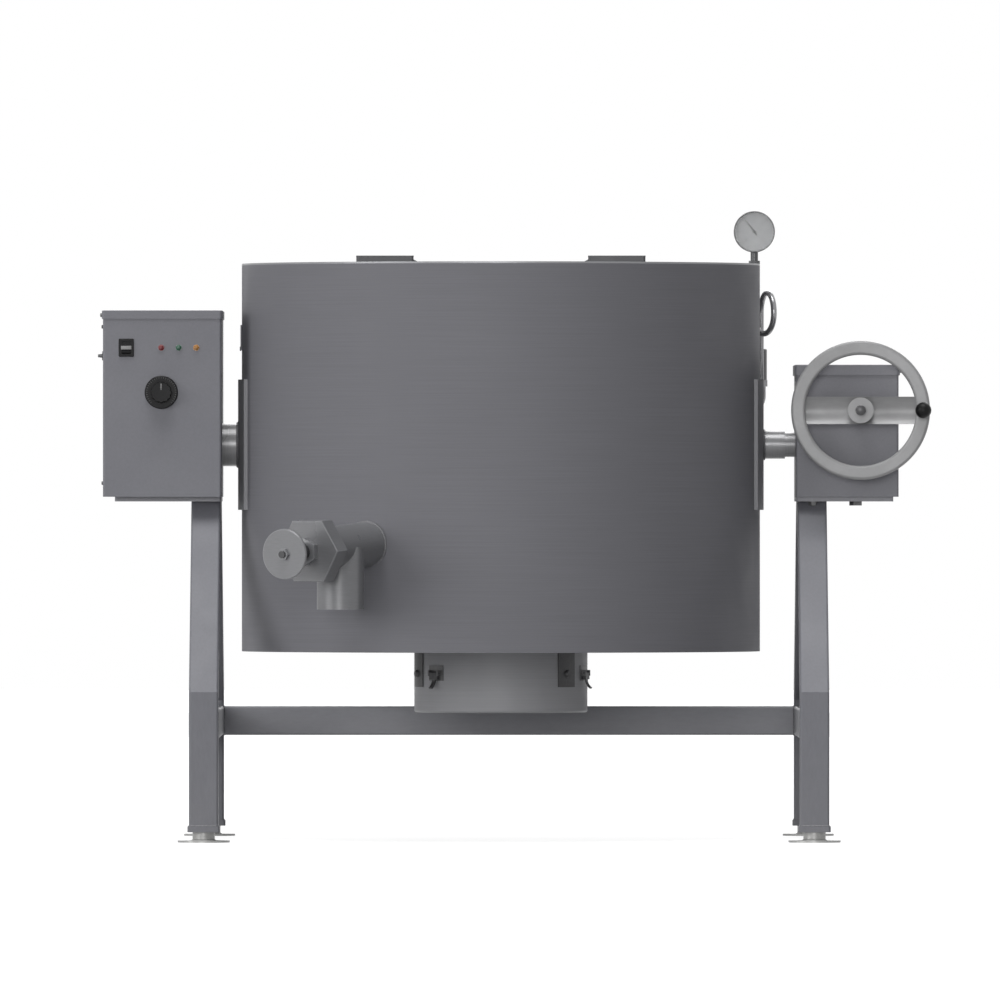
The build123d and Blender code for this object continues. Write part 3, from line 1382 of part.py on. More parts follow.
strap_thickness = 3.0
strap_bend = 5.0
strap_rise = grip_height - grip_sheet
strap_riser = 41.65
strap_slope = 98.0
strap_foot = 16.0
handle_section = Plane(origin=(kettle_x + grip_centre, grip_width / 2 - grip_sheet, cover_top),
                       x_dir=(1, 0, 0), z_dir=(0, -1, 0))
with BuildPart() as right_cover_handle:
    with BuildSketch(Plane.XY.offset(cover_top + grip_height)):
        with Locations((kettle_x + grip_centre, 0)):
            RectangleRounded(grip_length, grip_width, 4.0)
    extrude(amount=-grip_depth)
    with BuildSketch(Plane.XY.offset(cover_top + strap_rise)):
        with Locations((kettle_x + grip_centre, 0)):
            Rectangle(grip_length, grip_width - 2 * grip_sheet)
    extrude(amount=-grip_depth, mode=Mode.SUBTRACT)
    with BuildSketch(handle_section):
        with BuildLine():
            half = strap_thickness / 2
            FilletPolyline(
                (strap_riser + strap_foot, half),
                (strap_riser, half),
                (strap_riser, strap_rise - half),
                (-strap_riser, strap_rise - half),
                (-strap_slope, half),
                (-strap_slope - strap_foot, half),
                radius=strap_bend,
            )
        trace(line_width=strap_thickness)
    extrude(amount=grip_width - 2 * grip_sheet)

cover_split_plane = Plane(origin=(kettle_x, 0, 0), z_dir=(1, 0, 0))
left_cover = mirror(right_cover.part, about=cover_split_plane)
left_cover_handle = mirror(right_cover_handle.part, about=cover_split_plane)


# ---------------------------------------------------------------- pieces out
pieces = {
    "left_front_leg": left_front_leg,
    "left_rear_leg": left_rear_leg,
    "right_front_leg": right_front_leg,
    "right_rear_leg": right_rear_leg,
    "left_side_rail": left_side_rail,
    "right_side_rail": right_side_rail,
    "rear_crossbar": rear_crossbar.part,
    "flanged_feet": flanged_feet.part,
    "left_support_tray": left_support_tray.part,
    "right_support_tray": right_support_tray.part,
    "left_trunnion_bearing": left_trunnion_bearing,
    "right_trunnion_bearing": right_trunnion_bearing,
    "outer_shell": outer_shell.part,
    "inner_bowl": inner_bowl.part,
    "steam_jacket": steam_jacket.part,
    "left_trunnion": left_trunnion.part,
    "right_trunnion": right_trunnion.part,
    "worm_wheel": worm_wheel.part,
    "worm_shaft": worm_shaft.part,
    "worm_bearing_blocks": worm_bearing_blocks.part,
    "gearbox_bolts": gearbox_bolts.part,
    "handwheel": handwheel.part,
    "crank_knob": crank_knob.part,
    "gearbox_housing": gearbox_housing.part,
    "gearbox_cap": gearbox_cap,
    "control_box_body": control_box_body.part,
    "control_box_cap": control_box_cap,
    "switch_bezel": switch_bezel.part,
    "power_rocker": power_rocker.part,
    "red_lamp": red_lamp,
    "green_lamp": green_lamp,
    "amber_lamp": amber_lamp,
    "thermostat_knob": thermostat_knob.part,
    "cam_lock": cam_lock.part,
    "cable_gland": cable_gland.part,
    "contactor": contactor.part,
    "element_drum": element_drum.part,
    "heating_elements": heating_elements.part,
    "hanger_brackets": hanger_brackets.part,
    "latch_plates": latch_plates.part,
    "left_latch_lever": left_latch_lever,
    "right_latch_lever": right_latch_lever,
    "rear_latch_lever": rear_latch_lever,
    "draw_off_body": draw_off_body.part,
    "draw_off_bonnet": draw_off_bonnet.part,
    "draw_off_plug": draw_off_plug.part,
    "draw_off_stem": draw_off_stem.part,
    "draw_off_wheel": draw_off_wheel.part,
    "pressure_manifold": pressure_manifold.part,
    "gauge_siphon": gauge_siphon.part,
    "gauge_case": gauge_case.part,
    "gauge_dial": gauge_dial.part,
    "gauge_glass": gauge_glass.part,
    "gauge_pointer": gauge_pointer.part,
    "relief_valve_body": relief_valve_body.part,
    "relief_valve_lever": relief_valve_lever.part,
    "left_cover": left_cover,
    "right_cover": right_cover.part,
    "left_cover_handle": left_cover_handle,
    "right_cover_handle": right_cover_handle.part,
}
for label, piece in pieces.items():
    piece.label = label
    export_step(piece, f"parts/{label}.step")
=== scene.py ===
"""Looks of a tilting steam jacketed kettle: finishes, weld beads, screws, dial markings and trim.

Metres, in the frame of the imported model: +X along the trunnions, +Y to the back, +Z up.
"""
import math

import bpy
from mathutils import Matrix, Vector


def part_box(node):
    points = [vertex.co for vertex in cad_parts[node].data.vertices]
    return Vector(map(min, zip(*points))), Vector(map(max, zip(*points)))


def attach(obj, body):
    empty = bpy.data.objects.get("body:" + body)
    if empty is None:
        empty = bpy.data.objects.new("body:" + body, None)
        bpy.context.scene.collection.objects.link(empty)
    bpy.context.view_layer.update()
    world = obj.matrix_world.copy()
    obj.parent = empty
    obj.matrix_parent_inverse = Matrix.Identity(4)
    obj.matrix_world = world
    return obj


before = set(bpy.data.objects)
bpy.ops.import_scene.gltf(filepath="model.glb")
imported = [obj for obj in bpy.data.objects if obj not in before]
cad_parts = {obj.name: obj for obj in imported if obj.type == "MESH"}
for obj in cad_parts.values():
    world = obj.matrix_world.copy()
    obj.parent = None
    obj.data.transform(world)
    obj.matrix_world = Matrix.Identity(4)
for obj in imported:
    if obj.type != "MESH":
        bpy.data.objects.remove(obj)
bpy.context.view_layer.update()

# ---------------------------------------------------------------- places on the kettle
KETTLE_X = -0.014
TILT_HEIGHT = 0.678
SHELL_RADIUS = 0.4455
WORM_X = 0.602
VALVE_AZIMUTH = math.radians(31.0)
VALVE_SLOPE = math.radians(3.5)
VALVE_OUT = Vector((
    -math.sin(VALVE_AZIMUTH) * math.cos(VALVE_SLOPE),
    -math.cos(VALVE_AZIMUTH) * math.cos(VALVE_SLOPE),
    -math.sin(VALVE_SLOPE),
))
VALVE_ROOT = Vector((
    KETTLE_X - SHELL_RADIUS * math.sin(VALVE_AZIMUTH), -SHELL_RADIUS * math.cos(VALVE_AZIMUTH), 0.5074,
))
FRONT = Vector((0, -1, 0))
BACK = Vector((0, 1, 0))
RIGHT = Vector((1, 0, 0))
LEFT = Vector((-1, 0, 0))
UP = Vector((0, 0, 1))
DOWN = Vector((0, 0, -1))


def kettle_point(azimuth, radius, height):
    """Point at an azimuth (degrees, 0 at the right, -90 at the front) about the kettle's own axis."""
    a = math.radians(azimuth)
    return Vector((KETTLE_X + radius * math.cos(a), radius * math.sin(a), height))


# ---------------------------------------------------------------- shared shader groups
def start_group(name, inputs, outputs):
    group = bpy.data.node_groups.new(name, "ShaderNodeTree")
    for label, kind, value in inputs:
        group.interface.new_socket(label, in_out="INPUT", socket_type=kind).default_value = value
    for label, kind in outputs:
        group.interface.new_socket(label, in_out="OUTPUT", socket_type=kind)
    return group, group.nodes.new("NodeGroupInput"), group.nodes.new("NodeGroupOutput")


def build_grain_group():
    """Fine brushed or moulded grain: noise stretched along the direction of the brush."""
    group, given, result = start_group(
        "brushed_grain",
        [("Stretch", "NodeSocketVector", (4, 4, 4))],
        [("Tone", "NodeSocketFloat"), ("Height", "NodeSocketFloat")],
    )
    place = group.nodes.new("ShaderNodeTexCoord")
    stretch = group.nodes.new("ShaderNodeVectorMath")
    stretch.operation = "MULTIPLY"
    noise = group.nodes.new("ShaderNodeTexNoise")
    noise.inputs["Scale"].default_value = 1.0
    noise.inputs["Detail"].default_value = 3.0
    noise.inputs["Roughness"].default_value = 0.65
    level = group.nodes.new("ShaderNodeMapRange")
    level.inputs["From Min"].default_value = 0.3
    level.inputs["From Max"].default_value = 0.7
    group.links.new(place.outputs["Object"], stretch.inputs[0])
    group.links.new(given.outputs["Stretch"], stretch.inputs[1])
    group.links.new(stretch.outputs[0], noise.inputs["Vector"])
    group.links.new(noise.outputs["Fac"], level.inputs["Value"])
    group.links.new(level.outputs["Result"], result.inputs["Tone"])
    group.links.new(noise.outputs["Fac"], result.inputs["Height"])
    return group


def build_wear_group():
    """Mask that is bright on outer edges: rubbed by handling, and a painted highlight along the edges."""
    group, given, result = start_group(
        "edge_wear_and_highlight",
        [("Width", "NodeSocketFloat", 0.001), ("Amount", "NodeSocketFloat", 1.0)],
        [("Mask", "NodeSocketFloat")],
    )
    rounded = group.nodes.new("ShaderNodeBevel")
    rounded.samples = 4
    flat = group.nodes.new("ShaderNodeNewGeometry")
    facing = group.nodes.new("ShaderNodeVectorMath")
    facing.operation = "DOT_PRODUCT"
    turn = group.nodes.new("ShaderNodeMapRange")
    turn.inputs["From Min"].default_value = 1.0
    turn.inputs["From Max"].default_value = 0.86
    scuff = group.nodes.new("ShaderNodeTexNoise")
    scuff.inputs["Scale"].default_value = 90.0
    place = group.nodes.new("ShaderNodeTexCoord")
    broken = group.nodes.new("ShaderNodeMath")
    broken.operation = "MULTIPLY"
    scaled = group.nodes.new("ShaderNodeMath")
    scaled.operation = "MULTIPLY"
    scaled.use_clamp = True
    group.links.new(given.outputs["Width"], rounded.inputs["Radius"])
    group.links.new(rounded.outputs["Normal"], facing.inputs[0])
    group.links.new(flat.outputs["Normal"], facing.inputs[1])
    group.links.new(facing.outputs["Value"], turn.inputs["Value"])
    group.links.new(place.outputs["Object"], scuff.inputs["Vector"])
    group.links.new(turn.outputs["Result"], broken.inputs[0])
    group.links.new(scuff.outputs["Fac"], broken.inputs[1])
    group.links.new(broken.outputs[0], scaled.inputs[0])
    group.links.new(given.outputs["Amount"], scaled.inputs[1])
    group.links.new(scaled.outputs[0], result.inputs["Mask"])
    return group


def build_smudge_group():
    """Broad uneven patches left by wiping and handling, for roughness."""
    group, given, result = start_group(
        "wiped_smudges",
        [("Scale", "NodeSocketFloat", 9.0)],
        [("Mask", "NodeSocketFloat")],
    )
    place = group.nodes.new("ShaderNodeTexCoord")
    noise = group.nodes.new("ShaderNodeTexNoise")
    noise.inputs["Detail"].default_value = 4.0
    noise.inputs["Distortion"].default_value = 0.6
    level = group.nodes.new("ShaderNodeMapRange")
    level.inputs["From Min"].default_value = 0.35
    level.inputs["From Max"].default_value = 0.68
    group.links.new(place.outputs["Object"], noise.inputs["Vector"])
    group.links.new(given.outputs["Scale"], noise.inputs["Scale"])
    group.links.new(noise.outputs["Fac"], level.inputs["Value"])
    group.links.new(level.outputs["Result"], result.inputs["Mask"])
    return group


def build_floor_dust_group():
    """Dust and splashes near the floor, thinning out with height."""
    group, given, result = start_group(
        "floor_dust",
        [("Top", "NodeSocketFloat", 0.15), ("Amount", "NodeSocketFloat", 0.3)],
        [("Mask", "NodeSocketFloat")],
    )
    place = group.nodes.new("ShaderNodeTexCoord")
    split = group.nodes.new("ShaderNodeSeparateXYZ")
    fade = group.nodes.new("ShaderNodeMapRange")
    fade.inputs["From Min"].default_value = 0.0
    fade.inputs["To Min"].default_value = 1.0
    fade.inputs["To Max"].default_value = 0.0
    noise = group.nodes.new("ShaderNodeTexNoise")
    noise.inputs["Scale"].default_value = 40.0
    noise.inputs["Detail"].default_value = 5.0
    uneven = group.nodes.new("ShaderNodeMath")
    uneven.operation = "MULTIPLY"
    scaled = group.nodes.new("ShaderNodeMath")
    scaled.operation = "MULTIPLY"
    scaled.use_clamp = True
    group.links.new(place.outputs["Object"], split.inputs[0])
    group.links.new(split.outputs["Z"], fade.inputs["Value"])
    group.links.new(given.outputs["Top"], fade.inputs["From Max"])
    group.links.new(place.outputs["Object"], noise.inputs["Vector"])
    group.links.new(fade.outputs["Result"], uneven.inputs[0])
    group.links.new(noise.outputs["Fac"], uneven.inputs[1])
    group.links.new(uneven.outputs[0], scaled.inputs[0])
    group.links.new(given.outputs["Amount"], scaled.inputs[1])
    group.links.new(scaled.outputs[0], result.inputs["Mask"])
    return group


GRAIN = build_grain_group()
WEAR_AND_HIGHLIGHT = build_wear_group()
SMUDGE = build_smudge_group()
DUST = build_floor_dust_group()


# ---------------------------------------------------------------- finishes
def place_group(tree, group, **values):
    node = tree.nodes.new("ShaderNodeGroup")
    node.node_tree = group
    for label, value in values.items():
        node.inputs[label].default_value = value
    return node


def mix_colour(tree, mode, amount, first, second):
    """Mix node; amount, first and second are each a socket or a value."""
    node = tree.nodes.new("ShaderNodeMix")
    node.data_type = "RGBA"
    node.blend_type = mode
    given = ((node.inputs[0], amount), (node.inputs[6], first), (node.inputs[7], second))
    for socket, value in given:
        if isinstance(value, bpy.types.NodeSocket):
            tree.links.new(value, socket)
        else:
            socket.default_value = value
    return node.outputs[2]


def build_finish(name, colour, rough, metal=0.0, stretch=(4, 4, 900), grain=0.10, relief=0.08,
                 wear_and_highlight=0.35, wear_and_highlight_width=0.0012, wear_and_highlight_tone=1.6, dust=0.0, spread=0.10, shine=0.35):
    """Opaque finish: grained colour with rubbed edges that also carry a painted highlight, wiped patches and
    dust near the floor.

    stretch is the grain's count per metre along each axis; grain and relief are its tone and height.
    """
    material = bpy.data.materials.new(name)
    material.use_nodes = True
    tree = material.node_tree
    shader = tree.nodes["Principled BSDF"]
    shader.inputs["Metallic"].default_value = metal
    shader.inputs["Specular IOR Level"].default_value = shine
    pale = (*(min(1.0, c * (1 + grain)) for c in colour), 1.0)
    deep = (*(c * (1 - grain) for c in colour), 1.0)
    # paler edge colour: rubbed metal, and a painted highlight along the edges
    bare = (*(min(0.9, c * wear_and_highlight_tone + 0.01) for c in colour), 1.0)
    lines = place_group(tree, GRAIN, Stretch=stretch)
    patches = place_group(tree, SMUDGE, Scale=9.0)
    # mask of rubbed edges, also used to paint a highlight along every outer edge
    edges = place_group(tree, WEAR_AND_HIGHLIGHT, Width=wear_and_highlight_width, Amount=wear_and_highlight)
    tone = mix_colour(tree, "MIX", lines.outputs["Tone"], deep, pale)
    tone = mix_colour(tree, "MIX", edges.outputs["Mask"], tone, bare)
    if dust:
        low = place_group(tree, DUST, Top=0.22, Amount=dust)
        tone = mix_colour(tree, "MIX", low.outputs["Mask"], tone, (0.30, 0.285, 0.26, 1.0))
    tree.links.new(tone, shader.inputs["Base Color"])
    gloss = tree.nodes.new("ShaderNodeMapRange")
    gloss.inputs["To Min"].default_value = max(0.04, rough - spread / 2)
    gloss.inputs["To Max"].default_value = rough + spread / 2
    tree.links.new(patches.outputs["Mask"], gloss.inputs["Value"])
    tree.links.new(gloss.outputs["Result"], shader.inputs["Roughness"])
    bump = tree.nodes.new("ShaderNodeBump")
    bump.inputs["Strength"].default_value = relief
    bump.inputs["Distance"].default_value = 0.0006
    tree.links.new(lines.outputs["Height"], bump.inputs["Height"])
    tree.links.new(bump.outputs["Normal"], shader.inputs["Normal"])
    material.diffuse_color = (*colour, 1.0)
    return material


def build_trunnion_finish(name, pad_colour, pad_edge):
    """Turned tube that stands in a duller rolled pad; the pad ends at a radius about the kettle's axis."""
    material = build_finish(
        name, (0.24, 0.24, 0.248), 0.30, stretch=(700, 30, 30), relief=0.06, wear_and_highlight=0.15, shine=0.8,
    )
    tree = material.node_tree
    shader = tree.nodes["Principled BSDF"]
    place = tree.nodes.new("ShaderNodeTexCoord")
    from_axis = tree.nodes.new("ShaderNodeVectorMath")
    from_axis.operation = "SUBTRACT"
    from_axis.inputs[1].default_value = (KETTLE_X, 0, 0)
    level = tree.nodes.new("ShaderNodeVectorMath")
    level.operation = "MULTIPLY"
    level.inputs[1].default_value = (1, 1, 0)
    reach = tree.nodes.new("ShaderNodeVectorMath")
    reach.operation = "LENGTH"
    on_pad = tree.nodes.new("ShaderNodeMath")
    on_pad.operation = "LESS_THAN"
    on_pad.inputs[1].default_value = pad_edge
    tree.links.new(place.outputs["Object"], from_axis.inputs[0])
    tree.links.new(from_axis.outputs[0], level.inputs[0])
    tree.links.new(level.outputs[0], reach.inputs[0])
    tree.links.new(reach.outputs["Value"], on_pad.inputs[0])
    tube_tone = shader.inputs["Base Color"].links[0].from_socket
    tube_gloss = shader.inputs["Roughness"].links[0].from_socket
    tone = mix_colour(tree, "MIX", on_pad.outputs[0], tube_tone, (*pad_colour, 1.0))
    tree.links.new(tone, shader.inputs["Base Color"])
    gloss = tree.nodes.new("ShaderNodeMix")
    gloss.inputs[3].default_value = 0.62
    tree.links.new(on_pad.outputs[0], gloss.inputs[0])
    tree.links.new(tube_gloss, gloss.inputs[2])
    tree.links.new(gloss.outputs[0], shader.inputs["Roughness"])
    bare = tree.nodes.new("ShaderNodeMapRange")
    bare.inputs["To Min"].default_value = 0.25
    bare.inputs["To Max"].default_value = 0.0
    tree.links.new(on_pad.outputs[0], bare.inputs["Value"])
    tree.links.new(bare.outputs["Result"], shader.inputs["Metallic"])
    return material


def build_lens(name, colour, glow):
    """Moulded pilot-lamp lens: tinted, glossy, with fine ribs and a faint inner glow."""
    material = build_finish(name, colour, 0.18, stretch=(900, 4, 900), grain=0.12, relief=0.25, wear_and_highlight=0.1)
    shader = material.node_tree.nodes["Principled BSDF"]
    shader.inputs["Coat Weight"].default_value = 0.25
    shader.inputs["Emission Color"].default_value = (*colour, 1.0)
    shader.inputs["Emission Strength"].default_value = glow
    return material


def build_clear_glass(name):
    """Flat gauge glass with faint wiping marks."""
    material = bpy.data.materials.new(name)
    material.use_nodes = True
    tree = material.node_tree
    shader = tree.nodes["Principled BSDF"]
    shader.inputs["Base Color"].default_value = (0.95, 0.97, 0.97, 1.0)
    shader.inputs["Metallic"].default_value = 0.0
    shader.inputs["Alpha"].default_value = 0.12
    shader.inputs["IOR"].default_value = 1.45
    patches = place_group(tree, SMUDGE, Scale=60.0)
    gloss = tree.nodes.new("ShaderNodeMapRange")
    gloss.inputs["To Min"].default_value = 0.03
    gloss.inputs["To Max"].default_value = 0.12
    tree.links.new(patches.outputs["Mask"], gloss.inputs["Value"])
    tree.links.new(gloss.outputs["Result"], shader.inputs["Roughness"])
    return material


FINE = (260, 260, 260)
FINISH = {
    "shell_sheet": build_finish(
        "shell_sheet", (0.197, 0.197, 0.215), 
        0.58, 0.0, (5, 5, 700), 0.05, 0.06, shine=0.2),
    "bowl_sheet": build_finish(
        "bowl_sheet", (0.30, 0.303, 0.315), 
        0.36, 0.35, (5, 5, 700), 0.08, 0.08),
    "cover_sheet": build_finish(
        "cover_sheet", (0.27, 0.273, 0.285), 
        0.38, 0.3, (3, 500, 500), 0.08, 0.08),
    "grip_sheet": build_finish(
        "grip_sheet", (0.085, 0.085, 0.09), 
        0.42, 0.05, (6, 500, 500), 0.10, 0.10),
    # much paler than shell_sheet: painted light that lifts the shade under the kettle on the element drum
    "drum_sheet_painted_light": build_finish(
        "drum_sheet_painted_light", (0.40, 0.402, 0.42), 
        0.44, 0.0, (5, 5, 800), 0.06, 0.07),
    "jacket_plate": build_finish(
        "jacket_plate", (0.22, 0.22, 0.23), 
        0.5, 0.4, (9, 9, 60), 0.15, 0.2),
    "trunnion_steel": build_trunnion_finish("trunnion_steel", (0.24, 0.24, 0.255), SHELL_RADIUS + 0.0075),
    # strong pale edges on the valve: a painted highlight along them, with some rubbing
    "valve_turned": build_finish(
        "valve_turned", (0.200, 0.202, 0.212), 
        0.32, 0.08, (60, 60, 700), 0.06, 0.06,
                                 wear_and_highlight=0.8, wear_and_highlight_width=0.0016, wear_and_highlight_tone=2.2, shine=0.6),
    "stem_steel": build_finish(
        "stem_steel", (0.045, 0.045, 0.048), 
        0.3, 0.3, FINE, 0.1, 0.06, shine=0.6),
    "box_enamel": build_finish("box_enamel", (0.203, 0.204, 0.226), 0.5, 0.0, FINE, 0.035, 0.08),
    # paler copy of box_enamel: painted light that lifts the shade the kettle casts on the gearbox housing
    # and cap
    "gearbox_enamel_painted_light": build_finish(
        "gearbox_enamel_painted_light", (0.228, 0.228, 0.250), 
        0.5, 0.0, FINE, 0.035, 0.08),
    "tube_enamel": build_finish(
        "tube_enamel", (0.185, 0.187, 0.208), 
        0.48, 0.0, (240, 240, 60), 0.04, 0.08,
                                dust=0.12),
    # paler than the legs' tube_enamel: painted light that lifts the shade the kettle casts on the rear
    # crossbar; the dust is real
    "bar_enamel_painted_light": build_finish(
        "bar_enamel_painted_light", (0.340, 0.342, 0.370), 
        0.48, 0.0, (60, 240, 240), 0.04, 0.08,
                               dust=0.12),
    "plate_enamel": build_finish(
        "plate_enamel", (0.335, 0.335, 0.360), 
        0.5, 0.0, (240, 240, 240), 0.05, 0.10),
    "cast_enamel": build_finish(
        "cast_enamel", (0.17, 0.172, 0.185), 
        0.6, 0.0, (120, 120, 120), 0.15, 0.5),
    "polished_alloy": build_finish(
        "polished_alloy", (0.325, 0.325, 0.33), 
        0.38, 0.05, (40, 400, 40), 0.05, 0.06,
                                   shine=0.5),
    "gear_bronze": build_finish(
        "gear_bronze", (0.45, 0.30, 0.13), 
        0.32, 0.8, (200, 200, 200), 0.15, 0.15),
    "gear_steel": build_finish(
        "gear_steel", (0.12, 0.12, 0.125), 
        0.28, 0.6, (60, 700, 60), 0.12, 0.12),
    "zinc_plate": build_finish(
        "zinc_plate", (0.42, 0.42, 0.415), 
        0.42, 0.3, (160, 160, 160), 0.12, 0.12, dust=0.2),
    "zinc_small": build_finish(
        "zinc_small", (0.15, 0.15, 0.152), 
        0.38, 0.3, (160, 160, 160), 0.12, 0.12),
    "bracket_steel": build_finish(
        "bracket_steel", (0.085, 0.085, 0.088), 
        0.42, 0.2, FINE, 0.12, 0.12),
    "dark_latch": build_finish(
        "dark_latch", (0.07, 0.07, 0.073), 
        0.42, 0.2, (120, 120, 120), 0.2, 0.2, wear_and_highlight=0.6,
                               wear_and_highlight_tone=4.0),
    "black_phenolic": build_finish(
        "black_phenolic", (0.005, 0.005, 0.0055), 
        0.38, 0.0, (300, 300, 300), 0.3, 0.08,
                                   wear_and_highlight=0.25, wear_and_highlight_tone=3.0, shine=0.16),
    "grey_moulding": build_finish(
        "grey_moulding", (0.12, 0.12, 0.122), 
        0.45, 0.0, (300, 300, 300), 0.12, 0.15),
    "black_moulding": build_finish(
        "black_moulding", (0.006, 0.006, 0.0065), 
        0.45, 0.0, (300, 300, 300), 0.25, 0.12,
                                   wear_and_highlight=0.2, wear_and_highlight_tone=3.0, shine=0.16),
    "pale_print": build_finish(
        "pale_print", (0.30, 0.30, 0.30), 
        0.5, 0.0, (300, 300, 300), 0.08, 0.05),
    "dim_print": build_finish(
        "dim_print", (0.16, 0.16, 0.16), 
        0.5, 0.0, (300, 300, 300), 0.10, 0.05, shine=0.16),
    "dial_enamel": build_finish(
        "dial_enamel", (0.36, 0.362, 0.37), 
        0.45, 0.0, (200, 200, 200), 0.04, 0.03),
    "dial_ink": build_finish(
        "dial_ink", (0.05, 0.05, 0.052), 
        0.5, 0.0, (300, 300, 300), 0.15, 0.05, shine=0.2),
    # dark steel: painted shade standing for the shaded bezel round the gauge dial; the same finish is on the
    # cam lock
    "case_steel_painted_shade": build_finish(
        "case_steel_painted_shade", (0.085, 0.086, 0.09), 
        0.3, 0.2, (60, 700, 60), 0.08, 0.08, wear_and_highlight=0.7,
                               shine=0.6),
    # pale plating: painted light that lifts the shade behind the shell's edge on the pressure manifold and
    # gauge siphon
    "pipe_plate_painted_light": build_finish(
        "pipe_plate_painted_light", (0.32, 0.32, 0.33), 
        0.22, 0.45, (120, 120, 400), 0.10, 0.08, wear_and_highlight=0.6,
                               shine=0.7),
    "relief_body": build_finish(
        "relief_body", (0.10, 0.10, 0.103), 
        0.34, 0.3, (120, 120, 400), 0.15, 0.12, wear_and_highlight=0.6),
    "element_sheath": build_finish(
        "element_sheath", (0.35, 0.22, 0.13), 
        0.4, 0.6, (120, 120, 120), 0.2, 0.2),
    "weld_bead": build_finish(
        "weld_bead", (0.18, 0.18, 0.19), 
        0.42, 0.1, (420, 420, 420), 0.25, 0.9, wear_and_highlight=0.2),
    "red_lens": build_lens("red_lens", (0.15, 0.004, 0.008), 0.05),
    "green_lens": build_lens("green_lens", (0.018, 0.085, 0.05), 0.05),
    "amber_lens": build_lens("amber_lens", (0.34, 0.15, 0.025), 0.05),
    "clear_glass": build_clear_glass("clear_glass"),
}

NODE_FINISH = {
    "left_front_leg": "tube_enamel", "left_rear_leg": "tube_enamel", "right_front_leg": "tube_enamel",
    "right_rear_leg": "tube_enamel", "left_side_rail": "tube_enamel", "right_side_rail": "tube_enamel",
    "rear_crossbar": "bar_enamel_painted_light", "flanged_feet": "zinc_plate", "left_support_tray": "plate_enamel",
    "right_support_tray": "plate_enamel", "left_trunnion_bearing": "cast_enamel",
    "right_trunnion_bearing": "cast_enamel", "outer_shell": "shell_sheet", "inner_bowl": "bowl_sheet",
    "steam_jacket": "jacket_plate", "left_trunnion": "trunnion_steel", "right_trunnion": "trunnion_steel",
    "worm_wheel": "gear_bronze", "worm_shaft": "gear_steel", "worm_bearing_blocks": "cast_enamel",
    "gearbox_bolts": "zinc_small", "handwheel": "polished_alloy", "crank_knob": "black_phenolic",
    "gearbox_housing": "gearbox_enamel_painted_light", "gearbox_cap": "gearbox_enamel_painted_light", "control_box_body": "box_enamel",
    "control_box_cap": "box_enamel", "switch_bezel": "black_moulding", "power_rocker": "black_moulding",
    "red_lamp": "red_lens", "green_lamp": "green_lens", "amber_lamp": "amber_lens",
    "thermostat_knob": "black_phenolic", "cam_lock": "case_steel_painted_shade", "cable_gland": "black_moulding",
    "contactor": "grey_moulding", "element_drum": "drum_sheet_painted_light", "heating_elements": "element_sheath",
    "hanger_brackets": "bracket_steel", "latch_plates": "zinc_small", "left_latch_lever": "dark_latch",
    "right_latch_lever": "dark_latch", "rear_latch_lever": "dark_latch", "draw_off_body": "valve_turned",
    "draw_off_bonnet": "valve_turned", "draw_off_plug": "valve_turned", "draw_off_stem": "stem_steel",
    "draw_off_wheel": "valve_turned", "pressure_manifold": "pipe_plate_painted_light", "gauge_siphon": "pipe_plate_painted_light",
    "gauge_case": "case_steel_painted_shade", "gauge_dial": "dial_enamel", "gauge_glass": "clear_glass",
    "gauge_pointer": "dial_ink", "relief_valve_body": "relief_body", "relief_valve_lever": "zinc_small",
    "left_cover": "cover_sheet", "right_cover": "cover_sheet", "left_cover_handle": "grip_sheet",
    "right_cover_handle": "grip_sheet",
}
for node_name, finish_name in NODE_FINISH.items():
    for material_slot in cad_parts[node_name].material_slots:
        material_slot.material = FINISH[finish_name]


# ---------------------------------------------------------------- making and placing pieces
def deselect():
    if bpy.context.mode != "OBJECT":
        bpy.ops.object.mode_set(mode="OBJECT")
    bpy.ops.object.select_all(action="DESELECT")


def facing(normal, spin=0.0):
    """Euler turn that points local +Z along the normal, with local +Y as near to up as it can be."""
    turn = Vector(normal).to_track_quat("Z", "Y").to_matrix()
    return (turn @ Matrix.Rotation(spin, 3, "Z")).to_euler()


def settle(piece, name, body, finish, smooth=35.0):
    """Applies the piece's place, smooths it below an angle, and gives it its finish and body."""
    deselect()
    piece.select_set(True)
    bpy.context.view_layer.objects.active = piece
    bpy.ops.object.transform_apply(location=True, rotation=True, scale=True)
    bpy.ops.object.shade_smooth_by_angle(angle=math.radians(smooth))
    piece.name = name
    piece.data.name = name
    piece.data.materials.clear()
    piece.data.materials.append(FINISH[finish])
    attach(piece, body)
    return piece


SHAPES = {}


def shape_of(build, *sizes):
    """Shape modelled once for its sizes, at the origin with its axis along +Z, and kept for its copies."""
    key = (build.__name__, *sizes)
    if key not in SHAPES:
        deselect()
        SHAPES[key] = build(*sizes)
    return SHAPES[key]


def copy_shape(shape, name, place, normal, body, finish, spin=0.0, scale=1.0, smooth=30.0):
    """Copy of a modelled shape, with its own mesh, set on its place along a normal."""
    piece = shape.copy()
    piece.data = shape.data.copy()
    bpy.context.collection.objects.link(piece)
    piece.location = Vector(place)
    piece.rotation_euler = facing(normal, spin)
    piece.scale = (scale, scale, scale)
    return settle(piece, name, body, finish, smooth)


def pick_faces(piece, test):
    """Selects the faces of a mesh in edit mode whose centre and normal pass the test."""
    bpy.ops.mesh.select_all(action="DESELECT")
    bpy.ops.object.mode_set(mode="OBJECT")
    for face in piece.data.polygons:
        face.select = bool(test(face.center, face.normal))
    bpy.ops.object.mode_set(mode="EDIT")
    bpy.ops.mesh.select_mode(type="FACE")


def add_modifier_now(piece, kind, **values):
    modifier = piece.modifiers.new(kind.lower(), kind)
    for label, value in values.items():
        setattr(modifier, label, value)
    bpy.context.view_layer.objects.active = piece
    bpy.ops.object.modifier_apply(modifier=modifier.name)


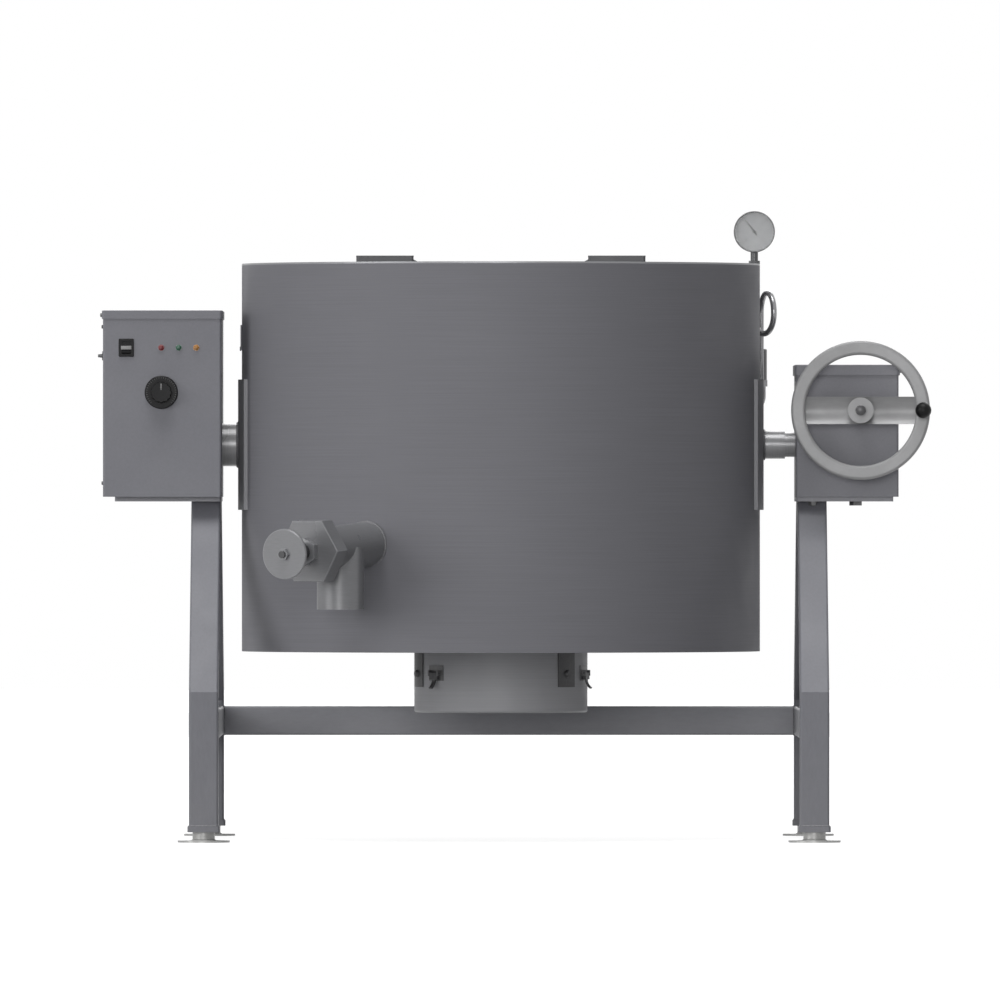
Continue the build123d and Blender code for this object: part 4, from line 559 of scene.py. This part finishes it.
def build_ring_shape(radius, thickness):
    bpy.ops.mesh.primitive_torus_add(
        major_radius=radius, minor_radius=thickness, major_segments=64, minor_segments=8,
    )
    return bpy.context.object


def ring(name, place, normal, radius, thickness, body, finish):
    """Weld bead round a pipe or boss: a torus with its axis along the normal."""
    shape = shape_of(build_ring_shape, radius, thickness)
    return copy_shape(shape, name, place, normal, body, finish, smooth=80.0)


def build_square_bead_shape(side, thickness):
    bpy.ops.mesh.primitive_plane_add(size=side)
    bpy.ops.object.mode_set(mode="EDIT")
    bpy.ops.mesh.bevel(offset=0.004, segments=3, affect="VERTICES")
    bpy.ops.mesh.select_all(action="SELECT")
    bpy.ops.mesh.delete(type="ONLY_FACE")
    bpy.ops.object.mode_set(mode="OBJECT")
    bpy.ops.object.convert(target="CURVE")
    bead = bpy.context.object
    bead.data.bevel_depth = thickness
    bead.data.bevel_resolution = 2
    bpy.ops.object.convert(target="MESH")
    return bpy.context.object


def square_bead(name, place, normal, side, thickness):
    """Weld bead round the end of a square tube."""
    shape = shape_of(build_square_bead_shape, side, thickness)
    return copy_shape(shape, name, place, normal, "stand", "weld_bead", smooth=80.0)


def plate(name, low, high, rounding, body, finish):
    """Thin plate or bar between two corners with softened edges."""
    deselect()
    low = Vector(low)
    high = Vector(high)
    bpy.ops.mesh.primitive_cube_add(size=1.0, location=(low + high) / 2)
    piece = bpy.context.object
    piece.scale = high - low
    bpy.ops.object.transform_apply(location=False, rotation=False, scale=True)
    add_modifier_now(piece, "BEVEL", width=rounding, segments=3, limit_method="ANGLE")
    return settle(piece, name, body, finish)


SCREW_SEAT = 0.34   # half of a head's thickness, less a hair, in radii
SCREW_SPIN = 0.4
HEX_SPIN = 0.3
WASHER = 0.0013
WASHER_SEAT = 0.0012


def build_screw_shape():
    """Cross-head screw of radius 1: a domed head with a rounded rim and a cross cut into its crown."""
    bpy.ops.mesh.primitive_cylinder_add(vertices=28, radius=1.0, depth=0.7)
    screw = bpy.context.object
    bpy.ops.object.mode_set(mode="EDIT")
    pick_faces(screw, lambda centre, out: out.z > 0.9)
    bpy.ops.mesh.inset(thickness=0.22)
    bpy.ops.transform.translate(value=(0, 0, 0.16))
    bpy.ops.mesh.inset(thickness=0.3)
    bpy.ops.transform.translate(value=(0, 0, 0.07))
    bpy.ops.object.mode_set(mode="OBJECT")
    for turn in (0.0, math.pi / 2):
        bpy.ops.mesh.primitive_cube_add(size=1.0, location=(0, 0, 0.62), rotation=(0, 0, turn))
        cutter = bpy.context.object
        cutter.scale = (1.05, 0.2, 0.5)
        add_modifier_now(screw, "BOOLEAN", operation="DIFFERENCE", object=cutter)
        bpy.data.objects.remove(cutter)
    return screw


def dome_screw(name, place, normal, radius, body):
    """Cross-head screw on a face, seated by a hair."""
    seat = Vector(place) + Vector(normal) * radius * SCREW_SEAT
    shape = shape_of(build_screw_shape)
    return copy_shape(
        shape, name, seat, normal, body, "zinc_small", spin=SCREW_SPIN, scale=radius,
    )


def build_hex_shape(flats, height, washer):
    """Hexagon head with a raised crown: on a washer, or sunk by half its height."""
    radius = flats / math.sqrt(3)
    middle = WASHER_SEAT + height / 2 if washer else 0.0
    bpy.ops.mesh.primitive_cylinder_add(vertices=6, radius=radius, depth=height, location=(0, 0, middle))
    head = bpy.context.object
    bpy.ops.object.transform_apply(location=True, rotation=False, scale=False)
    bpy.ops.object.mode_set(mode="EDIT")
    pick_faces(head, lambda centre, out: out.z > 0.9)
    bpy.ops.mesh.inset(thickness=radius * 0.14)
    bpy.ops.transform.translate(value=(0, 0, height * 0.16))
    bpy.ops.object.mode_set(mode="OBJECT")
    if washer:
        bpy.ops.mesh.primitive_cylinder_add(
            vertices=36, radius=radius * 1.18, depth=WASHER, location=(0, 0, WASHER / 2),
        )
        under = bpy.context.object
        head.select_set(True)
        under.select_set(True)
        bpy.context.view_layer.objects.active = head
        bpy.ops.object.join()
    return head


def hex_head(
    name, place, normal, flats, height, body, finish="zinc_small", washer=True,
):
    shape = shape_of(build_hex_shape, flats, height, washer)
    return copy_shape(shape, name, place, normal, body, finish, spin=HEX_SPIN)


PRINT_LIFT = 0.00012
SCALE_START = -135.0
SCALE_SWEEP = 270.0


def lettering(name, words, place, size, body, finish):
    """Printed number on a front face, a hair proud of it."""
    deselect()
    bpy.ops.object.text_add(location=place, rotation=facing(FRONT))
    text = bpy.context.object
    text.data.body = words
    text.data.size = size
    text.data.extrude = PRINT_LIFT
    text.data.align_x = "CENTER"
    text.data.align_y = "CENTER"
    bpy.ops.object.convert(target="MESH")
    return settle(bpy.context.object, name, body, finish, 30.0)


def tick_ring(name, centre, count, inner, outer, width, body, finish):
    """Printed scale marks on an arc of a front face: one bar modelled, the rest copied round the centre."""
    deselect()
    bpy.ops.mesh.primitive_cube_add(size=1.0)
    bars = [bpy.context.object]
    for _ in range(count - 1):
        bar = bars[0].copy()
        bar.data = bars[0].data.copy()
        bpy.context.collection.objects.link(bar)
        bars.append(bar)
    middle = (inner + outer) / 2
    for index, bar in enumerate(bars):
        angle = math.radians(SCALE_START + SCALE_SWEEP * index / (count - 1))
        bar.location = (math.sin(angle) * middle, math.cos(angle) * middle, 0)
        bar.rotation_euler = (0, 0, -angle)
        bar.scale = (width, outer - inner, 2 * PRINT_LIFT)
    deselect()
    for bar in bars:
        bar.select_set(True)
    bpy.context.view_layer.objects.active = bars[0]
    bpy.ops.object.join()
    marks = bpy.context.object
    bpy.ops.object.transform_apply(location=True, rotation=True, scale=True)
    marks.location = centre
    marks.rotation_euler = facing(FRONT)
    return settle(marks, name, body, finish, 30.0)


# ---------------------------------------------------------------- stand: weld beads
LEG_X = 0.520
LEG_Y = 0.385
RAIL_Z = 0.200
SOCKET_Z = 0.0280
FOOT_TOP_Z = 0.0037
TUBE_REACH = 0.0253          # from a tube's middle to its face
RAIL_SIDE = 0.0475
SOCKET_SIDE = 0.0488
FOOT_STEM_RADIUS = 0.0193
BEAD = 0.0022
FOOT_BEAD = 0.0016
for side, side_name in ((-1, "left"), (1, "right")):
    for end, end_name in ((-1, "front"), (1, "rear")):
        corner = f"{side_name}_{end_name}"
        square_bead(
            f"{corner}_rail_weld", (side * LEG_X, end * (LEG_Y - TUBE_REACH), RAIL_Z), BACK, RAIL_SIDE, BEAD,
        )
        square_bead(
            f"{corner}_socket_weld", (side * LEG_X, end * LEG_Y, SOCKET_Z), UP, SOCKET_SIDE, BEAD * 0.8,
        )
        ring(
            f"{corner}_foot_weld", (side * LEG_X, end * LEG_Y, FOOT_TOP_Z), UP, FOOT_STEM_RADIUS, FOOT_BEAD,
            "stand", "zinc_plate",
        )
    square_bead(
        f"{side_name}_crossbar_weld", (side * (LEG_X - TUBE_REACH), LEG_Y, RAIL_Z), RIGHT, RAIL_SIDE, BEAD,
    )

# ---------------------------------------------------------------- trunnions: weld beads on their pads
LEFT_PAD_X = -0.4668
RIGHT_PAD_X = 0.4388
LEFT_BEAD_RADIUS = 0.0378
RIGHT_BEAD_RADIUS = 0.0248
TRUNNION_BEAD = 0.0020
ring("left_trunnion_weld", (LEFT_PAD_X, 0, TILT_HEIGHT), RIGHT, LEFT_BEAD_RADIUS, TRUNNION_BEAD,
     "kettle", "weld_bead")
ring("right_trunnion_weld", (RIGHT_PAD_X, 0, TILT_HEIGHT), RIGHT, RIGHT_BEAD_RADIUS, TRUNNION_BEAD,
     "kettle", "weld_bead")

# ---------------------------------------------------------------- control box: painted highlight on the rocker, and screws
PANEL_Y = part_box("control_box_body")[0].y
BOX_SIDE_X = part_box("control_box_body")[0].x
HIGHLIGHT_LEFT, HIGHLIGHT_RIGHT = -0.6650, -0.6470
HIGHLIGHT_BOTTOM, HIGHLIGHT_TOP = 0.8408, 0.8472
HIGHLIGHT_FRONT, HIGHLIGHT_BACK = 0.00560, 0.00370      # in front of the panel
CAP_SCREW_Z = 0.900
CAP_SCREW = 0.0035
SIDE_SCREW = 0.0032
# pale strip across the rocker: a painted highlight along its crease
plate(
    "rocker_painted_highlight", (HIGHLIGHT_LEFT, PANEL_Y - HIGHLIGHT_FRONT, HIGHLIGHT_BOTTOM), (HIGHLIGHT_RIGHT, PANEL_Y - HIGHLIGHT_BACK, HIGHLIGHT_TOP),
    0.0005, "stand", "pale_print",
)
for index, y in enumerate((-0.125, 0.125, 0.0)):
    dome_screw(f"control_cap_screw_{index}", (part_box("control_box_cap")[0].x, y, CAP_SCREW_Z), LEFT,
               CAP_SCREW, "stand")
for index, x in enumerate((-0.685, -0.504)):
    dome_screw(f"control_cap_back_screw_{index}", (x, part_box("control_box_cap")[1].y, CAP_SCREW_Z), BACK,
               CAP_SCREW, "stand")
for index, (y, z) in enumerate(((-0.118, 0.612), (0.118, 0.612), (-0.118, 0.880), (0.118, 0.880))):
    dome_screw(f"control_box_side_screw_{index}", (BOX_SIDE_X, y, z), LEFT, SIDE_SCREW, "stand")

# ---------------------------------------------------------------- thermostat knob: scale and pointer
KNOB = Vector((-0.596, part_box("thermostat_knob")[0].y, 0.7675))
KNOB_SKIRT_Y = PANEL_Y - 0.0053
POINTER_HALF_WIDTH = 0.0008
tick_ring("knob_scale", (KNOB.x, KNOB_SKIRT_Y, KNOB.z), 31, 0.0235, 0.0262, 0.0006,
          "thermostat_knob", "dim_print")
plate(
    "knob_pointer", (KNOB.x - POINTER_HALF_WIDTH, KNOB.y - 0.0002, KNOB.z + 0.004),
    (KNOB.x + POINTER_HALF_WIDTH, KNOB.y + 0.0004, KNOB.z + 0.0150), 0.0002,
    "thermostat_knob", "pale_print",
)

# ---------------------------------------------------------------- pressure gauge: marks and numbers
DIAL_LOW, DIAL_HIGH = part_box("gauge_dial")
DIAL = Vector(((DIAL_LOW.x + DIAL_HIGH.x) / 2, DIAL_LOW.y, (DIAL_LOW.z + DIAL_HIGH.z) / 2))
MARK_OUTER = 0.0305
NUMBER_REACH = 0.0195
NUMBER_SIZE = 0.0078
tick_ring("dial_main_marks", DIAL, 7, 0.0245, MARK_OUTER, 0.0011, "kettle", "dial_ink")
tick_ring("dial_fine_marks", DIAL, 31, 0.0275, MARK_OUTER, 0.0005, "kettle", "dial_ink")
for number in range(7):
    angle = math.radians(SCALE_START + SCALE_SWEEP / 6 * number)
    at = DIAL + Vector((math.sin(angle) * NUMBER_REACH, 0, math.cos(angle) * NUMBER_REACH))
    lettering(f"dial_number_{number}", str(number), at, NUMBER_SIZE, "kettle", "dial_ink")

# ---------------------------------------------------------------- draw-off valve: root bead and packing nut
ROOT_BEAD_RADIUS = 0.0383
ROOT_BEAD = 0.0026
NUT_RADIUS = 0.0235
NUT_DEPTH = 0.012
STEM_HOLE_RADIUS = 0.0128
NUT_REACH = 0.191 + 0.0062
ring("valve_root_weld", VALVE_ROOT + VALVE_OUT * -0.0004, VALVE_OUT, ROOT_BEAD_RADIUS, ROOT_BEAD,
     "kettle", "weld_bead")
deselect()
bpy.ops.mesh.primitive_cylinder_add(vertices=6, radius=NUT_RADIUS, depth=NUT_DEPTH)
packing_nut = bpy.context.object
bpy.ops.object.mode_set(mode="EDIT")
pick_faces(packing_nut, lambda centre, out: out.z > 0.9)
bpy.ops.mesh.inset(thickness=0.003)
bpy.ops.transform.translate(value=(0, 0, 0.0015))
bpy.ops.object.mode_set(mode="OBJECT")
bpy.ops.mesh.primitive_cylinder_add(vertices=40, radius=STEM_HOLE_RADIUS, depth=0.05)
nut_bore = bpy.context.object
add_modifier_now(packing_nut, "BOOLEAN", operation="DIFFERENCE", object=nut_bore)
bpy.data.objects.remove(nut_bore)
packing_nut.location = VALVE_ROOT + VALVE_OUT * NUT_REACH
packing_nut.rotation_euler = facing(VALVE_OUT)
settle(packing_nut, "packing_nut", "kettle", "valve_turned", 30.0)

# ---------------------------------------------------------------- covers: rivets at the handles' feet
HANDLE_X = 0.1994            # of a handle's middle from the kettle's axis
FOOT_REACHES = (0.0500, -0.1060)
RIVET_ROW = 0.0065
COVER_TOP_Z = 0.9701
RIVET = 0.0028
for side, side_name in ((-1, "left"), (1, "right")):
    for index, reach in enumerate(FOOT_REACHES):
        for row, row_name in ((-1, "front"), (1, "back")):
            centre = Vector((KETTLE_X + side * (HANDLE_X + reach), row * RIVET_ROW, COVER_TOP_Z))
            dome_screw(f"{side_name}_handle_rivet_{index}_{row_name}", centre, UP, RIVET,
                       f"{side_name}_cover")

# ---------------------------------------------------------------- gearbox: cap screws
GEARBOX_SCREW_Z = 0.805
GEARBOX_SCREW = 0.0038
for index, y in enumerate((-0.095, 0.0, 0.095)):
    dome_screw(f"gearbox_cap_screw_{index}", (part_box("gearbox_cap")[1].x, y, GEARBOX_SCREW_Z), RIGHT,
               GEARBOX_SCREW, "stand")

# ---------------------------------------------------------------- handwheel: retaining bolt in the hub
WORM_Z = TILT_HEIGHT + 0.0585
hex_head("wheel_retaining_bolt", (WORM_X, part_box("handwheel")[0].y, WORM_Z), FRONT, 0.0150, 0.0035,
         "worm", "stem_steel", washer=False)

# ---------------------------------------------------------------- bolt heads under the right tray
TRAY_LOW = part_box("right_support_tray")[0]
TRAY_BOLT_X = 0.521
TRAY_BOLT_INSET = 0.013
TRAY_BOLT_FLATS = 0.013
TRAY_BOLT_HEIGHT = 0.0055
hex_head("right_tray_front_bolt", (TRAY_BOLT_X, TRAY_LOW.y + TRAY_BOLT_INSET, TRAY_LOW.z), DOWN,
         TRAY_BOLT_FLATS, TRAY_BOLT_HEIGHT, "stand")
hex_head("right_tray_rear_bolt", (TRAY_BOLT_X, -TRAY_LOW.y - TRAY_BOLT_INSET, TRAY_LOW.z), DOWN,
         TRAY_BOLT_FLATS, TRAY_BOLT_HEIGHT, "stand")

# ---------------------------------------------------------------- shell: rear seam, side strip and its nub
SEAM_AZIMUTH = 112.0
SEAM_RADIUS = 0.0024
SEAM_LOW, SEAM_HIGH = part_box("outer_shell")[0].z + 0.004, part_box("outer_shell")[1].z - 0.004
deselect()
bpy.ops.mesh.primitive_cylinder_add(
    vertices=16, radius=SEAM_RADIUS, depth=SEAM_HIGH - SEAM_LOW,
    location=kettle_point(SEAM_AZIMUTH, SHELL_RADIUS - 0.0013, (SEAM_LOW + SEAM_HIGH) / 2),
)
seam = bpy.context.object
settle(seam, "shell_rear_seam", "kettle", "weld_bead", 80.0)
STRIP_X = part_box("outer_shell")[0].x
STRIP_HALF_WIDTH = 0.020
STRIP_BOTTOM, STRIP_TOP = 0.841, 0.884
plate(
    "shell_side_strip", (STRIP_X - 0.0022, -STRIP_HALF_WIDTH, STRIP_BOTTOM),
    (STRIP_X + 0.0020, STRIP_HALF_WIDTH, STRIP_TOP), 0.0006, "kettle", "shell_sheet",
)
hex_head("shell_side_nub", (STRIP_X - 0.0020, 0.0, 0.8432), LEFT, 0.0070, 0.0024, "kettle", washer=False)

for modelled in SHAPES.values():
    bpy.data.objects.remove(modelled)


# ---------------------------------------------------------------- floor, background and lights
def build_seen_mask(tree):
    """1 for rays of the camera, of reflections and through clear pieces, 0 for light on the object."""
    path = tree.nodes.new("ShaderNodeLightPath")
    direct = tree.nodes.new("ShaderNodeMath")
    direct.operation = "MAXIMUM"
    seen = tree.nodes.new("ShaderNodeMath")
    seen.operation = "MAXIMUM"
    tree.links.new(path.outputs["Is Camera Ray"], direct.inputs[0])
    tree.links.new(path.outputs["Is Glossy Ray"], direct.inputs[1])
    tree.links.new(direct.outputs[0], seen.inputs[0])
    tree.links.new(path.outputs["Is Transmission Ray"], seen.inputs[1])
    return seen.outputs[0]


FLOOR_TINT = (0.32, 0.32, 0.32, 1.0)
FLOOR_GLOW = 0.86
WHITE = (1.0, 1.0, 1.0, 1.0)
ROOM_TINT = (0.05, 0.05, 0.052, 1.0)


def build_floor_finish():
    """Matt floor that keeps the object's shadow and is lifted to white where it is seen."""
    material = bpy.data.materials.new("studio_floor")
    material.use_nodes = True
    tree = material.node_tree
    shader = tree.nodes["Principled BSDF"]
    shader.inputs["Base Color"].default_value = FLOOR_TINT
    shader.inputs["Roughness"].default_value = 0.9
    shader.inputs["Specular IOR Level"].default_value = 0.1
    lift = tree.nodes.new("ShaderNodeMath")
    lift.operation = "MULTIPLY"
    lift.inputs[1].default_value = FLOOR_GLOW
    tree.links.new(build_seen_mask(tree), lift.inputs[0])
    shader.inputs["Emission Color"].default_value = WHITE
    tree.links.new(lift.outputs[0], shader.inputs["Emission Strength"])
    return material


deselect()
bpy.ops.mesh.primitive_plane_add(size=60.0, location=(0, 0, -0.0005))
studio_floor = bpy.context.object
studio_floor.name = "studio_floor"
studio_floor.data.materials.append(build_floor_finish())

world = bpy.data.worlds.new("studio")
bpy.context.scene.world = world
world.use_nodes = True
nodes = world.node_tree.nodes
links = world.node_tree.links
backdrop = nodes["Background"]
shade = nodes.new("ShaderNodeMix")
shade.data_type = "RGBA"
shade.inputs[6].default_value = ROOM_TINT
shade.inputs[7].default_value = WHITE
links.new(build_seen_mask(world.node_tree), shade.inputs[0])
links.new(shade.outputs[2], backdrop.inputs["Color"])


def add_sun(name, strength, spread, azimuth, elevation):
    """Broad even light from an azimuth (degrees to the right of the front) and an elevation."""
    a = math.radians(azimuth)
    e = math.radians(elevation)
    source = Vector((math.sin(a) * math.cos(e), -math.cos(a) * math.cos(e), math.sin(e)))
    lamp = bpy.data.lights.new(name, "SUN")
    lamp.energy = strength
    lamp.angle = math.radians(spread)
    holder = bpy.data.objects.new(name, lamp)
    holder.rotation_euler = source.to_track_quat("Z", "Y").to_euler()
    bpy.context.collection.objects.link(holder)


add_sun("side_light", 1.05, 34.0, -58.0, 12.0)
add_sun("front_light", 0.74, 20.0, -6.0, 6.0)
add_sun("top_light", 1.85, 34.0, -10.0, 74.0)
add_sun("rear_light", 0.9, 40.0, 180.0, 30.0)

# ---------------------------------------------------------------- camera
SPAN = 1.72
LENS = 800.0
SENSOR = 36.0
CAMERA_X = -0.0155
CAMERA_Z = 0.583
half_view = math.atan(SENSOR / 2 / LENS)
camera_data = bpy.data.cameras.new("camera")
camera_data.lens = LENS
camera_data.sensor_width = SENSOR
distance = SPAN / 2 / math.tan(half_view)
camera_data.clip_start = 1.0
camera_data.clip_end = 200.0
camera = bpy.data.objects.new("camera", camera_data)
camera.location = (CAMERA_X, -distance, CAMERA_Z)
camera.rotation_euler = (math.pi / 2, 0, 0)
bpy.context.collection.objects.link(camera)
bpy.context.scene.camera = camera
bpy.context.scene.view_settings.view_transform = "Standard"
